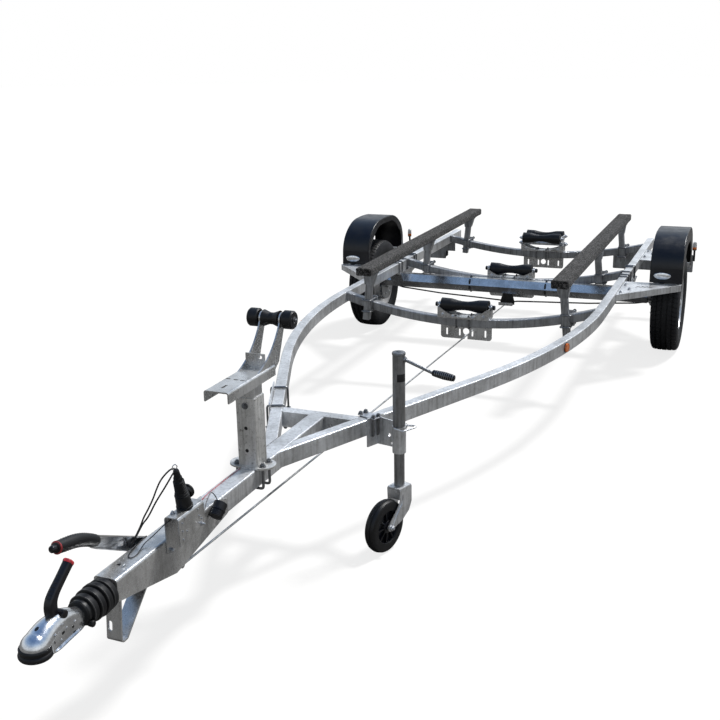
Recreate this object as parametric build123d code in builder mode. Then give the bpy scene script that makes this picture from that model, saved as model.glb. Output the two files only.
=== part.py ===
"""Single-axle braked boat trailer, parked on its two wheels and its jockey wheel.

Sizes are in millimetres. Pieces are drawn in the chassis frame: Y runs along the drawbar with the
coupling at -Y and the axle at Y = 0, X is across the trailer with its left side at +X, and Z is the
height above the ground at the axle. The parked chassis leans a little nose-down, so every finished
piece is tipped about the axle by PARKED before it is written.
"""
from build123d import *
from math import atan, cos, degrees, radians, sin, tan
import os

# ---------------------------------------------------------------- driving dimensions
PARKED_SLOPE = 0.0138            # fall of the frame per unit of length, nose-down
ORIGIN_TO_AXLE = 1884.730        # the origin is under the middle of the trailer's length

RAIL_TOP = 522                   # top face of rails, drawbar and cross tube
RAIL_W, RAIL_H, RAIL_WALL = 50, 65, 3
RAIL_X = 768                     # centre line of the straight side rails
RAIL_REAR = 1235
RAIL_BEND_R = 3675               # radius of the curved part, on the centre line
RAIL_BEND_END = -1150            # where the curve meets the straight rear part
RAIL_ANGLE = 23.2                # slant of the straight front part

DRAWBAR = 70                     # square centre tube
DRAWBAR_FRONT = -4400
CROSS_Y = -3285                  # front face of the front cross tube
BEAM = 50                        # square section of the bowed crossmembers

WHEEL_R = 313.5                  # 14 inch wheel with its tyre
WHEEL_X = 1034
TYRE_W = 175
RIM_R = 181
RIM_W = 142
STUB_R = 24                      # stub axle in the hub

AXLE_Y, AXLE_Z = -165, 388       # centre of the torsion axle tube
AXLE_FLAT = 92                   # across the flats of the hexagon

SHAFT_Z, SHAFT_R = 482, 18.5     # axis of the overrun shaft
SHAFT_END, NECK_REAR = -4370, -4790
BALL_Y, BALL_Z = -4956, 493      # centre of the 50 mm towing ball
BALL_R = 25.5
CUP_MOUTH, CUP_R, DOME_Z = 462, 38, 486

POST_Y, POST = -3810, 75         # winch post, square
TRAY_TOP, TRAY_W = 858, 92
TRAY_FRONT, TRAY_REAR = -4030, -3700
BOW_Y, BOW_Z = -3622, 1001       # bow roller's bolt

JOCKEY_X, JOCKEY_Y, JOCKEY_R = 356, -3300, 24
JOCKEY_TOP, JOCKEY_BOTTOM = 822, 424
JOCKEY_YAW = -16                 # how far the parked castor is turned from straight
JOCKEY_WHEEL_R, JOCKEY_WHEEL_W = 105, 44
JOCKEY_TRAIL = 100

BUNK_X, BUNK_W, BUNK_T = 578, 100, 48
BUNK_FRONT, BUNK_REAR, BUNK_TOP = -1352, 1092, 714
BUNK_RISE, BUNK_SPREAD = 0.007, 0.004   # slope to the rear, and outward
POST_LEAN = 6                    # bunk posts lean inwards

GUARD_IN, GUARD_OUT = 938, 1132  # mudguard's inner and outer edges
GUARD_FOOT, GUARD_TOP, GUARD_HALF = 516, 800, 360

# ---------------------------------------------------------------- worked-out places
ALPHA = radians(RAIL_ANGLE)
BEND_START_X = RAIL_X - RAIL_BEND_R * (1 - cos(ALPHA))
BEND_START_Y = RAIL_BEND_END - RAIL_BEND_R * sin(ALPHA)
RAIL_INNER = RAIL_X - RAIL_W / 2
RAIL_OUTER = RAIL_X + RAIL_W / 2
RAIL_MID = RAIL_TOP - RAIL_H / 2
RAIL_BOTTOM = RAIL_TOP - RAIL_H
TIP = atan(PARKED_SLOPE)
JOCKEY_AXLE_Y = JOCKEY_Y - JOCKEY_TRAIL * cos(radians(JOCKEY_YAW))
JOCKEY_WHEEL_Z = WHEEL_R + (JOCKEY_WHEEL_R - WHEEL_R - JOCKEY_AXLE_Y * sin(TIP)) / cos(TIP)

PARKED = (
    Pos(0, ORIGIN_TO_AXLE, WHEEL_R)
    * Rot(X=degrees(TIP))
    * Pos(0, 0, -WHEEL_R)
)

pieces = {}


def keep(name, solid):
    """File a finished piece under its name."""
    pieces[name] = solid


def rail_x(y):
    """Centre line of the slanted front part of the left rail at y."""
    return BEND_START_X + (y - BEND_START_Y) * tan(ALPHA)


def tube_section(width, height, wall, radius):
    """Rounded rectangular ring, drawn in the open sketch."""
    RectangleRounded(width, height, radius)
    RectangleRounded(width - 2 * wall, height - 2 * wall, radius - wall / 2, mode=Mode.SUBTRACT)


def across(width, center=0.0):
    """Plane that faces +X at the +X face of a piece `width` wide around x = center."""
    return Plane(origin=(center - width / 2, 0, 0), x_dir=(0, 1, 0), z_dir=(1, 0, 0))


def mirrored(solid):
    """The same piece on the other side of the trailer."""
    return mirror(solid, about=Plane.YZ)


# ---------------------------------------------------------------- frame
def side_rail():
    """Left rail: straight slanted front, long bend, straight rear; cut against the drawbar."""
    front_y = BEND_START_Y - BEND_START_X / tan(ALPHA)
    with BuildPart() as rail:
        with BuildLine(Plane.XY.offset(RAIL_MID)) as path:
            front = Line((0, front_y), (BEND_START_X, BEND_START_Y))
            TangentArc(
                (BEND_START_X, BEND_START_Y), (RAIL_X, RAIL_BEND_END), tangent=front % 1
            )
            Line((RAIL_X, RAIL_BEND_END), (RAIL_X, RAIL_REAR))
        with BuildSketch(Plane(origin=path.line @ 0, x_dir=(cos(ALPHA), -sin(ALPHA), 0),
                               z_dir=path.line % 0)):
            tube_section(RAIL_W, RAIL_H, RAIL_WALL, 5)
        sweep(path=path.line)
        split(bisect_by=Plane.YZ.offset(DRAWBAR / 2), keep=Keep.TOP)
    return rail.part


def drawbar():
    """Centre tube from inside the overrun housing back to the cross tube."""
    with BuildPart() as bar:
        with BuildSketch(Plane.XZ.offset(-CROSS_Y)):
            with Locations((0, RAIL_TOP - DRAWBAR / 2)):
                tube_section(DRAWBAR, DRAWBAR, 4, 6)
        extrude(amount=CROSS_Y - DRAWBAR_FRONT)
    return bar.part


def cross_tube():
    """Front cross tube, its ends cut to the slant of the rails."""
    slack = RAIL_W / 2 / cos(ALPHA)
    front = rail_x(CROSS_Y) - slack
    rear = rail_x(CROSS_Y + BEAM) - slack
    with BuildPart() as tube:
        with BuildSketch(Plane.XY.offset(RAIL_BOTTOM)):
            with BuildLine():
                Polyline(
                    (-front, CROSS_Y),
                    (front, CROSS_Y),
                    (rear, CROSS_Y + BEAM),
                    (-rear, CROSS_Y + BEAM),
                    close=True,
                )
            make_face()
        extrude(amount=RAIL_H)
        with BuildSketch(across(2 * rear)):
            with Locations((CROSS_Y + BEAM / 2, RAIL_MID)):
                Rectangle(BEAM - 2 * RAIL_WALL, RAIL_H - 2 * RAIL_WALL)
        extrude(amount=2 * rear, mode=Mode.SUBTRACT)
    return tube.part


# name, front face y, height of the top face at the middle, length of the bunk posts before it
CROSSMEMBERS = (
    ("crossmember_front", -1215, 413, 280),
    ("crossmember_middle", -99, 424, 212),
    ("crossmember_rear", 927, 431, 270),
)


def bow_radius(middle_top):
    """Radius of a beam that bows down from the rails' top to middle_top."""
    drop = RAIL_TOP - middle_top
    return (RAIL_INNER**2 + drop**2) / (2 * drop)


def crossmember(front, middle_top):
    """Square tube bowed down between the rails."""
    radius = bow_radius(middle_top)
    sweep_angle = degrees(RAIL_INNER / radius) + 2
    center = middle_top - BEAM / 2 + radius
    with BuildPart() as beam:
        with BuildLine(Plane.XZ.offset(-front - BEAM / 2)) as path:
            CenterArc((0, center), radius, 270 - sweep_angle, 2 * sweep_angle)
        with BuildSketch(Plane(origin=path.line @ 0, x_dir=(0, 1, 0), z_dir=path.line % 0)):
            tube_section(BEAM, BEAM, 3, 5)
        sweep(path=path.line)
        split(bisect_by=Plane.YZ.offset(RAIL_INNER), keep=Keep.BOTTOM)
        split(bisect_by=Plane.YZ.offset(-RAIL_INNER), keep=Keep.TOP)
    return beam.part


# ---------------------------------------------------------------- overrun coupling
HOUSING_WALL = 3
HOUSING_FRONT, HOUSING_REAR = -4665, -4062


def coupling_housing():
    """Folded cover over the drawbar's end, its cheeks deep in the middle."""
    half = DRAWBAR / 2 + HOUSING_WALL
    top = RAIL_TOP + HOUSING_WALL
    mouth_low = 458
    bearing = 12
    with BuildPart() as housing:
        with BuildSketch(across(2 * half)):
            with BuildLine():
                Polyline(
                    (HOUSING_FRONT, top),
                    (HOUSING_FRONT, mouth_low),
                    (-4523, 429),
                    (-4376, 398),
                    (HOUSING_REAR, RAIL_BOTTOM - 2),
                    (HOUSING_REAR, top - 18),
                    (HOUSING_REAR - 60, top),
                    close=True,
                )
            make_face()
        extrude(amount=2 * half)
        fillet(housing.faces().sort_by(Axis.Z)[-1].edges().filter_by(Axis.Y), 10)
        with BuildSketch(Plane.XZ.offset(-HOUSING_REAR - 1)):
            with Locations((0, RAIL_TOP - 100)):
                Rectangle(DRAWBAR, 200)
        extrude(amount=HOUSING_REAR - HOUSING_FRONT + 2, mode=Mode.SUBTRACT)
        # front bearing plate of the overrun shaft
        with BuildSketch(Plane.XZ.offset(-HOUSING_FRONT)):
            with Locations((0, (RAIL_TOP + mouth_low) / 2)):
                Rectangle(DRAWBAR, RAIL_TOP - mouth_low)
            with Locations((0, SHAFT_Z)):
                Circle(SHAFT_R + 0.5, mode=Mode.SUBTRACT)
        extrude(amount=-bearing)
    return housing.part


def coupling_head():
    """Cast head: domed ball cup, body that rises to the neck, round overrun shaft behind it."""
    # y, width, bottom and top of the body's sections
    sections = (
        (BALL_Y, 67, CUP_MOUTH + 4, 523),
        (-4905, 66, 460, 538),
        (-4838, 54, 458, 529),
        (NECK_REAR, 46, 460, 505),
    )
    with BuildPart() as head:
        with BuildSketch(Plane.XY.offset(CUP_MOUTH)):
            with Locations((0, BALL_Y)):
                Circle(CUP_R)
        extrude(amount=DOME_Z - CUP_MOUTH)
        with Locations((0, BALL_Y, DOME_Z)):
            Sphere(CUP_R, arc_size1=0)
        for y, width, low, high in sections:
            with BuildSketch(Plane.XZ.offset(-y)):
                with Locations((0, (low + high) / 2)):
                    RectangleRounded(width, high - low, 19)
        loft()
        with BuildSketch(Plane.XZ.offset(-NECK_REAR + 4)):
            with Locations((0, SHAFT_Z)):
                Circle(SHAFT_R)
        extrude(amount=NECK_REAR - 4 - SHAFT_END)
        with Locations((0, BALL_Y, BALL_Z)):
            Sphere(BALL_R, mode=Mode.SUBTRACT)
        with BuildSketch(Plane.XY.offset(CUP_MOUTH)):
            with Locations((0, BALL_Y)):
                Circle(BALL_R)
        extrude(amount=BALL_Z - CUP_MOUTH, mode=Mode.SUBTRACT)
        # eye of the ball latch through the body's top
        with BuildSketch(Plane.XY.offset(560)):
            with Locations((0, -4936)):
                Circle(5)
        extrude(amount=-60, mode=Mode.SUBTRACT)
    return head.part


def coupling_handle(head):
    """Rounded lever that opens the ball lock, its elbow seated on the neck of the head."""
    with BuildPart() as handle:
        with BuildSketch(across(28)):
            with BuildLine():
                Polyline(
                    (-4908, 522),
                    (-4866, 522),
                    (-4852, 566),
                    (-4768, 624),
                    (-4806, 660),
                    (-4884, 598),
                    (-4916, 556),
                    close=True,
                )
            make_face()
        extrude(amount=28)
        fillet(handle.edges().filter_by(Axis.X), 5)
        fillet(handle.faces().filter_by(Axis.X).edges(), 6)
        with BuildSketch(across(50)):
            with Locations((-4864, 530)):
                Circle(11)
        extrude(amount=50)
        add(head, mode=Mode.SUBTRACT)
    return handle.part


def soft_dock_ring():
    """Rubber collar round the mouth of the ball cup, with a lip above its bulge."""
    inner = CUP_R + 0.2
    low, waist, high = CUP_MOUTH - 2, CUP_MOUTH + 14, CUP_MOUTH + 27
    with BuildPart() as ring:
        with BuildSketch(Plane.XZ.offset(-BALL_Y)):
            with BuildLine():
                Polyline((inner, high), (inner, low), (inner + 2.5, low))
                ThreePointArc((inner + 2.5, low), (inner + 6.5, (low + waist) / 2), (inner + 3, waist))
                Polyline((inner + 3, waist), (inner + 4, high - 3), (inner + 2.5, high), (inner, high))
            make_face()
        revolve(axis=Axis((0, BALL_Y, 0), (0, 0, 1)))
        # open at the back, where the head's body passes over it
        split(bisect_by=Plane.XZ.offset(-BALL_Y - 15), keep=Keep.TOP)
    return ring.part


def bellows():
    """Ribbed gaiter over the overrun shaft: a clamp collar, then folds that swell to the housing."""
    front, collar_rear, collar_r = NECK_REAR, -4773, 35
    bore = SHAFT_R + 0.5
    # crest radius, radius of the valley behind it
    folds = ((43, 37), (46, 39), (48, 40), (45, 42))
    pitch = (HOUSING_FRONT - collar_rear) / len(folds)
    with BuildPart() as gaiter:
        with BuildSketch(Plane.YZ):
            with BuildLine():
                points = [(front, SHAFT_Z + bore), (front, SHAFT_Z + collar_r),
                          (collar_rear, SHAFT_Z + collar_r)]
                for number, (crest, valley) in enumerate(folds):
                    start = collar_rear + number * pitch
                    points.append((start + 0.25 * pitch, SHAFT_Z + crest))
                    points.append((start + 0.75 * pitch, SHAFT_Z + crest))
                    points.append((start + pitch, SHAFT_Z + valley))
                points.append((HOUSING_FRONT, SHAFT_Z + bore))
                Polyline(*points, close=True)
            make_face()
        revolve(axis=Axis((0, 0, SHAFT_Z), (0, 1, 0)))
        # screw bosses of the clamp collar
        with Locations((0, -4780, SHAFT_Z - 24)):
            Cylinder(9, 76, rotation=(0, 90, 0))
        with Locations((0, (front + HOUSING_FRONT) / 2, SHAFT_Z)):
            Cylinder(bore, HOUSING_FRONT - front + 2, rotation=(90, 0, 0), mode=Mode.SUBTRACT)
    return gaiter.part


def handbrake():
    """Channel-section lever on the right-hand cheek, with its bent rubber grip."""
    face = -DRAWBAR / 2 - HOUSING_WALL - 1
    depth, web = 20, 3
    outline = (
        (-4640, 632),
        (-4459, 543),
        (-4380, 505),
        (-4380, 468),
        (-4425, 468),
        (-4473, 501),
        (-4645, 594),
    )
    with BuildPart() as lever:
        with BuildSketch(across(0, face - depth)):
            with BuildLine():
                Polyline(*outline, close=True)
            make_face()
        extrude(amount=depth)
        fillet(lever.edges().filter_by(Axis.X), 7)
        offset(amount=-web, openings=lever.faces().sort_by(Axis.X)[-1])
        # boss on the brake shaft that comes out of the housing's cheek
        with BuildSketch(across(0, face - depth)):
            with Locations((-4402, 487)):
                Circle(10)
        extrude(amount=depth + 1)
    with BuildPart() as grip:
        with BuildLine() as path:
            FilletPolyline((face - depth / 2, -4628, 610), (face - depth / 2, -4691, 644),
                           (face - depth / 2, -4779.5, 663), radius=60)
        with BuildSketch(Plane(origin=path.line @ 0, z_dir=path.line % 0)):
            Circle(18.5)
        sweep(path=path.line)
        # release button at the end
        with BuildSketch(Plane(origin=path.line @ 1, z_dir=path.line % 1)):
            Circle(11)
        extrude(amount=23)
        add(lever.part, mode=Mode.SUBTRACT)
    return lever.part, grip.part


PLUG_X, PLUG_FRONT, PLUG_REAR = 62, -4423, -4283
PLUG_TOP, PLUG_LEG = 604, 515      # shelf and lower edge of the plug's bracket


def plug_bracket():
    """Folded strip on the housing's left cheek: short inner leg, top shelf, deep outer leg."""
    left, right = DRAWBAR / 2 + HOUSING_WALL, 88
    sheet = 3
    with BuildPart() as bracket:
        with BuildSketch(Plane.XZ.offset(-PLUG_REAR)):
            with BuildLine() as outline:
                FilletPolyline((left + sheet / 2, 484), (left + sheet / 2, PLUG_TOP - sheet / 2),
                               (right - sheet / 2, PLUG_TOP - sheet / 2),
                               (right - sheet / 2, PLUG_LEG), radius=9)
            trace(outline.line, line_width=sheet)
        extrude(amount=PLUG_REAR - PLUG_FRONT)
        # the outer leg's lower edge slopes up towards the back
        with BuildSketch(across(10, right)):
            with BuildLine():
                Polyline((PLUG_FRONT, PLUG_LEG - 2), (PLUG_REAR, PLUG_LEG - 2),
                         (PLUG_REAR, PLUG_LEG + 18), close=True)
            make_face()
        extrude(amount=10, mode=Mode.SUBTRACT)
    return bracket.part


def trailer_plug():
    """Moulded plug parked in its holder on the shelf, leaning back, with the sprung lid behind."""
    # distance up the plug, radius there
    profile = ((-8, 22.5), (22, 23.5), (44, 22), (60, 17), (96, 15.5), (100, 12), (134, 9), (138, 7))
    with BuildPart() as plug:
        with BuildSketch(Plane.XZ):
            with BuildLine():
                Polyline((0, profile[0][0]), *((radius, up) for up, radius in profile),
                         (0, profile[-1][0]), close=True)
            make_face()
        revolve(axis=Axis.Z)
        with BuildSketch(Plane(origin=(0, 22, 40), z_dir=(0, 1, 0.35))):
            Circle(20)
            with Locations((0, -26)):
                Rectangle(14, 24)
        extrude(amount=9)
    lean = degrees(atan((4380 - 4346) / (738 - PLUG_TOP)))
    leaning = Pos(PLUG_X, -4346, PLUG_TOP) * Rot(X=lean) * plug.part
    return split(leaning, bisect_by=Plane.XY.offset(PLUG_TOP), keep=Keep.TOP)


def socket_cap():
    """Round parking cap beside the drawbar, tilted down to the back, on a lug of the cheek."""
    center = Vector(PLUG_X, -4161, 513)
    aim = Vector(0, -38, -29)
    length, step = 48, 24
    front = center + aim.normalized() * (length / 2)
    with BuildPart() as cap:
        with BuildSketch(Plane(origin=front, z_dir=-aim)):
            Circle(21)
        extrude(amount=step)
        with BuildSketch(Plane(origin=front - aim.normalized() * step, z_dir=-aim)):
            Circle(22.5)
        extrude(amount=length - step)
        with Locations((PLUG_X - 16, -4161, 500)):
            Box(2 * (PLUG_X - 16 - DRAWBAR / 2 - HOUSING_WALL), 22, 16)
    return cap.part


def support_leg():
    """Strip bent to a V below the housing; keeps the coupling off the ground."""
    width, low = 50, 318
    with BuildPart() as leg:
        with BuildSketch(across(width)):
            with BuildLine() as outline:
                FilletPolyline((-4636, 456), (-4649, low), (-4622, low), (-4508, 428), radius=10)
            trace(outline.line, line_width=5)
        extrude(amount=width)
        with BuildSketch(Plane.XZ.offset(4640)):
            with Locations((-12, 363)):
                SlotCenterToCenter(18, 13, rotation=90)
        extrude(amount=20, both=True, mode=Mode.SUBTRACT)
    return leg.part


# ---------------------------------------------------------------- winch post and bow roller
def winch_post():
    """Square outer post on its rounded base plate, clamped on the drawbar."""
    plate, wall, top = 6, 4, 776
    with BuildPart() as post:
        with BuildSketch(Plane.XY.offset(RAIL_TOP)):
            with Locations((0, POST_Y)):
                SlotOverall(170, 96)
        extrude(amount=plate)
        with BuildSketch(Plane.XY.offset(RAIL_TOP + plate)):
            with Locations((0, POST_Y)):
                tube_section(POST, POST, wall, 7)
        extrude(amount=top - RAIL_TOP - plate)
        # bolt holes in the front and rear walls
        with Locations((0, POST_Y, 668), (0, POST_Y, 586)):
            Cylinder(6.5, POST + 10, rotation=(90, 0, 0), mode=Mode.SUBTRACT)
    return post.part


def winch_stand():
    """Inner post, folded winch tray and the two arms that carry the bow roller."""
    inner = POST - 9
    foot = 690
    wall = 5
    half = TRAY_W / 2 - wall / 2
    flange = 38
    shelf_rear = -3745
    arm_in = TRAY_W / 2 - 2 * wall
    with BuildPart() as stand:
        with BuildSketch(Plane.XY.offset(foot)):
            with Locations((0, POST_Y)):
                tube_section(inner, inner, 4, 5)
        extrude(amount=TRAY_TOP - wall - foot)
        # tray: flat top with its two sides folded down, the top cut shorter at the back
        with BuildSketch(Plane.XZ.offset(-TRAY_REAR)):
            with BuildLine() as outline:
                FilletPolyline((-half, TRAY_TOP - flange), (-half, TRAY_TOP - wall / 2),
                               (half, TRAY_TOP - wall / 2), (half, TRAY_TOP - flange), radius=6)
            trace(outline.line, line_width=wall)
        extrude(amount=TRAY_REAR - TRAY_FRONT)
        with BuildSketch(Plane.XY.offset(TRAY_TOP + 1)):
            with Locations((0, (shelf_rear + TRAY_REAR) / 2 + 1)):
                Rectangle(2 * arm_in, TRAY_REAR - shelf_rear + 2)
        extrude(amount=-wall - 2, mode=Mode.SUBTRACT)
        # arms inside the tray's sides rise and curve to the roller's bolt
        for side in (1, -1):
            with BuildSketch(across(wall, side * (arm_in + wall / 2))):
                with BuildLine():
                    ThreePointArc((-3815, TRAY_TOP), (-3722, 905), (BOW_Y - 23, BOW_Z - 8))
                    ThreePointArc((BOW_Y - 23, BOW_Z - 8), (BOW_Y, BOW_Z + 24), (BOW_Y + 24, BOW_Z))
                    ThreePointArc((BOW_Y + 24, BOW_Z), (-3636, 915), (-3660, TRAY_TOP))
                    Polyline((-3660, TRAY_TOP), (-3696, 834), (-3815, 834), (-3815, TRAY_TOP))
                make_face()
            extrude(amount=wall)
        # web between the arms, with the strap's hole
        with BuildSketch(Plane.XZ.offset(3755)):
            with Locations((0, 884)):
                Rectangle(2 * arm_in + 2, 52)
            with Locations((20, 898)):
                Circle(7, mode=Mode.SUBTRACT)
        extrude(amount=wall)
        # winch bolt slots in the tray
        with BuildSketch(Plane.XY.offset(TRAY_TOP + 1)):
            with Locations((-31, -3896), (0, -3898), (25, -3898)):
                SlotCenterToCenter(9, 9)
            with Locations((0, -3975)):
                SlotCenterToCenter(26, 9, rotation=90)
        extrude(amount=-wall - 2, mode=Mode.SUBTRACT)
        with Locations((0, BOW_Y, BOW_Z)):
            Cylinder(SPINDLE_R + 0.08, 200, rotation=(0, 90, 0), mode=Mode.SUBTRACT)
    return stand.part


def bow_roller():
    """Waisted rubber roller between the arms, a drum outside each arm, all on one bolt."""
    # distance from the middle, radius
    profile = ((0, 21), (8, 21.5), (20, 26), (31, 30), (31.5, SPINDLE_R), (46, SPINDLE_R),
               (46.5, 29), (51, 33), (82, 33), (87, 29))
    with BuildPart() as roller:
        with BuildSketch(Plane.XZ.offset(-BOW_Y)):
            with BuildLine():
                Polyline((0, BOW_Z), *((x, BOW_Z + radius) for x, radius in profile),
                         (profile[-1][0], BOW_Z), close=True)
            make_face()
        revolve(axis=Axis((0, BOW_Y, BOW_Z), (1, 0, 0)))
        mirror(about=Plane.YZ)
    return roller.part


# ---------------------------------------------------------------- axle, wheels and mudguards
CLAMP_Y = (-280, -215, -120, 40, 80)


def axle_beam():
    """Hexagonal torsion axle with its two saddle plates under the rails."""
    reach = WHEEL_X - 118
    with BuildPart() as axle:
        with BuildSketch(across(2 * reach)):
            with Locations((AXLE_Y, AXLE_Z)):
                RegularPolygon(AXLE_FLAT / 2, 6, major_radius=False)
                RegularPolygon(AXLE_FLAT / 2 - 5, 6, major_radius=False,
                               mode=Mode.SUBTRACT)
        extrude(amount=2 * reach)
        for side in (1, -1):
            # saddle: plate under the rail and two cheeks that clasp the axle
            with BuildSketch(across(90, side * RAIL_X)):
                with Locations((-100, RAIL_BOTTOM - 4)):
                    Rectangle(400, 8)
            extrude(amount=90)
            with Locations(*[(side * RAIL_X + dx, y, RAIL_BOTTOM)
                             for y in CLAMP_Y for dx in (-31, 31)]):
                Box(13, 13, 40, mode=Mode.SUBTRACT)
            for cheek in (-42, 42):
                with BuildSketch(across(6, side * RAIL_X + cheek)):
                    with BuildLine():
                        Polyline((-290, RAIL_BOTTOM - 4), (-235, AXLE_Z - 8), (-95, AXLE_Z - 8),
                                 (-50, RAIL_BOTTOM - 30), (95, RAIL_BOTTOM - 4), close=True)
                    make_face()
                    with Locations((AXLE_Y, AXLE_Z)):
                        RegularPolygon(AXLE_FLAT / 2, 6, major_radius=False,
                                       mode=Mode.SUBTRACT)
                extrude(amount=6)
    return axle.part


def axle_arms():
    """Trailing arms of the torsion axle, each with its brake backplate and stub axle."""
    inner = WHEEL_X - 118
    eye_r, hub_r, thick = 34, 30, 20
    with BuildPart() as arm:
        with BuildSketch(across(0, inner)):
            with BuildLine():
                Polyline((AXLE_Y, AXLE_Z + eye_r), (0, WHEEL_R + hub_r), (0, WHEEL_R - hub_r),
                         (AXLE_Y, AXLE_Z - eye_r), close=True)
            make_face()
            with Locations((AXLE_Y, AXLE_Z)):
                Circle(eye_r)
            with Locations((0, WHEEL_R)):
                Circle(hub_r)
        extrude(amount=thick)
        with BuildSketch(across(0, inner + thick - 2)):
            with Locations((0, WHEEL_R)):
                Circle(112)
        extrude(amount=6)
        with BuildSketch(across(0, inner + thick)):
            with Locations((0, WHEEL_R)):
                Circle(STUB_R)
        extrude(amount=100)
        mirror(about=Plane.YZ)
    return arm.part


def tyre():
    """Left tyre casing: beads on the rim, bulged walls, rounded shoulders and a flat crown."""
    bead = RIM_W / 2 - 4
    with BuildPart() as casing:
        with BuildSketch(Plane.XZ):
            # outer and inner skins: half width at the wall, shoulder's half width, crown's radius
            for wall_half, shoulder_half, crown, mode in (
                (TYRE_W / 2, TYRE_W / 2 - 14, WHEEL_R, Mode.ADD),
                (TYRE_W / 2 - 9, TYRE_W / 2 - 24, WHEEL_R - 14, Mode.SUBTRACT),
            ):
                foot = bead if mode == Mode.ADD else bead - 14
                base = RIM_R if mode == Mode.ADD else RIM_R - 2
                with BuildLine():
                    right = [
                        (WHEEL_X + foot, WHEEL_R + base),
                        (WHEEL_X + foot, WHEEL_R + RIM_R + 10),
                        (WHEEL_X + wall_half, WHEEL_R + 250),
                        (WHEEL_X + shoulder_half, WHEEL_R + crown - 12),
                    ]
                    left = [(2 * WHEEL_X - x, z) for x, z in right]
                    Line(right[0], right[1])
                    ThreePointArc(*right[1:])
                    ThreePointArc(right[3], (WHEEL_X, WHEEL_R + crown), left[3])
                    ThreePointArc(*left[:0:-1])
                    Line(left[1], left[0])
                    Line(left[0], right[0])
                make_face(mode=mode)
        revolve(axis=Axis((0, 0, WHEEL_R), (1, 0, 0)))
    return casing.part


def rim():
    """Left steel wheel: dished disc with hand holes, brake drum and hub."""
    with BuildPart() as wheel:
        with BuildSketch(Plane.XZ):
            with BuildLine():
                half = RIM_W / 2
                Polyline(
                    (WHEEL_X - half, WHEEL_R + RIM_R + 8), (WHEEL_X - half + 4, WHEEL_R + RIM_R + 8),
                    (WHEEL_X - half + 4, WHEEL_R + RIM_R), (WHEEL_X + half - 4, WHEEL_R + RIM_R),
                    (WHEEL_X + half - 4, WHEEL_R + RIM_R + 8), (WHEEL_X + half, WHEEL_R + RIM_R + 8),
                    (WHEEL_X + half, WHEEL_R + RIM_R - 6), (WHEEL_X + 40, WHEEL_R + 165),
                    (WHEEL_X + 52, WHEEL_R + 90), (WHEEL_X + 40, WHEEL_R + 62),
                    (WHEEL_X + 40, WHEEL_R + 26), (WHEEL_X + 34, WHEEL_R + 26),
                    (WHEEL_X + 34, WHEEL_R + 66), (WHEEL_X + 46, WHEEL_R + 92),
                    (WHEEL_X + 30, WHEEL_R + 165), (WHEEL_X - half, WHEEL_R + RIM_R - 6),
                    close=True,
                )
            make_face()
        revolve(axis=Axis((0, 0, WHEEL_R), (1, 0, 0)))
        # brake drum and hub behind the disc
        with BuildSketch(Plane.XZ):
            with BuildLine():
                Polyline(
                    (WHEEL_X - 84, WHEEL_R + 118), (WHEEL_X - 20, WHEEL_R + 118),
                    (WHEEL_X - 14, WHEEL_R + 62), (WHEEL_X + 34, WHEEL_R + 52),
                    (WHEEL_X + 34, WHEEL_R + 34), (WHEEL_X + 58, WHEEL_R + 30),
                    (WHEEL_X + 58, WHEEL_R), (WHEEL_X + 10, WHEEL_R), (WHEEL_X + 10, WHEEL_R + STUB_R + 0.1),
                    (WHEEL_X - 30, WHEEL_R + STUB_R + 0.1), (WHEEL_X - 30, WHEEL_R + 108),
                    (WHEEL_X - 84, WHEEL_R + 108), close=True,
                )
            make_face()
        revolve(axis=Axis((0, 0, WHEEL_R), (1, 0, 0)))
        with BuildSketch(Plane.YZ.offset(WHEEL_X + 20)):
            with Locations((0, WHEEL_R)):
                with PolarLocations(130, 12):
                    Circle(13)
        extrude(amount=60, mode=Mode.SUBTRACT)
    return wheel.part


def guard_arch(inset):
    """Closed outline of the mudguard's arch, `inset` inside its outer face."""
    half, foot, top = GUARD_HALF - inset, GUARD_FOOT, GUARD_TOP - inset
    shoulder = (half - 62, top - 82)
    crown = (112, top - 4)
    knee = (half - 4, foot + 90)
    bulge = (half - 22, knee[1] + 0.54 * (shoulder[1] - knee[1]))
    haunch = (crown[0] + 0.55 * (shoulder[0] - crown[0]), top - 30)
    with BuildLine() as arch:
        Line((-half, foot), (-knee[0], knee[1]))
        ThreePointArc((-knee[0], knee[1]), (-bulge[0], bulge[1]), (-shoulder[0], shoulder[1]))
        ThreePointArc((-shoulder[0], shoulder[1]), (-haunch[0], haunch[1]), (-crown[0], crown[1]))
        ThreePointArc((-crown[0], crown[1]), (0, top), crown)
        ThreePointArc(crown, haunch, shoulder)
        ThreePointArc(shoulder, bulge, knee)
        Line(knee, (half, foot))
        Line((half, foot), (-half, foot))
    return arch.edges()


def mudguard():
    """Left plastic arch with a rounded shoulder and side walls, the outer wall the deeper."""
    skin, inner_wall, outer_wall = 4, 40, 88
    with BuildPart() as cavity:
        with BuildSketch(across(0, GUARD_IN + skin)):
            make_face(guard_arch(skin))
        extrude(amount=GUARD_OUT - GUARD_IN - 2 * skin)
    with BuildPart() as guard:
        with BuildSketch(across(0, GUARD_IN)):
            make_face(guard_arch(0))
        extrude(amount=GUARD_OUT - GUARD_IN)
        rim_edges = guard.edges().filter_by(lambda edge: edge.center().Z > GUARD_FOOT + 1)
        fillet(rim_edges.filter_by(Axis.X, reverse=True), 7)
        add(cavity.part, mode=Mode.SUBTRACT)
        for x, depth in ((GUARD_IN, inner_wall), (GUARD_OUT - skin - 1, outer_wall)):
            with BuildSketch(across(0, x)):
                make_face(guard_arch(depth))
            extrude(amount=skin + 1, mode=Mode.SUBTRACT)
    return guard.part


BRACKET_TOP = GUARD_FOOT - 2
BRACKET_FLANGE = 38


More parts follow.
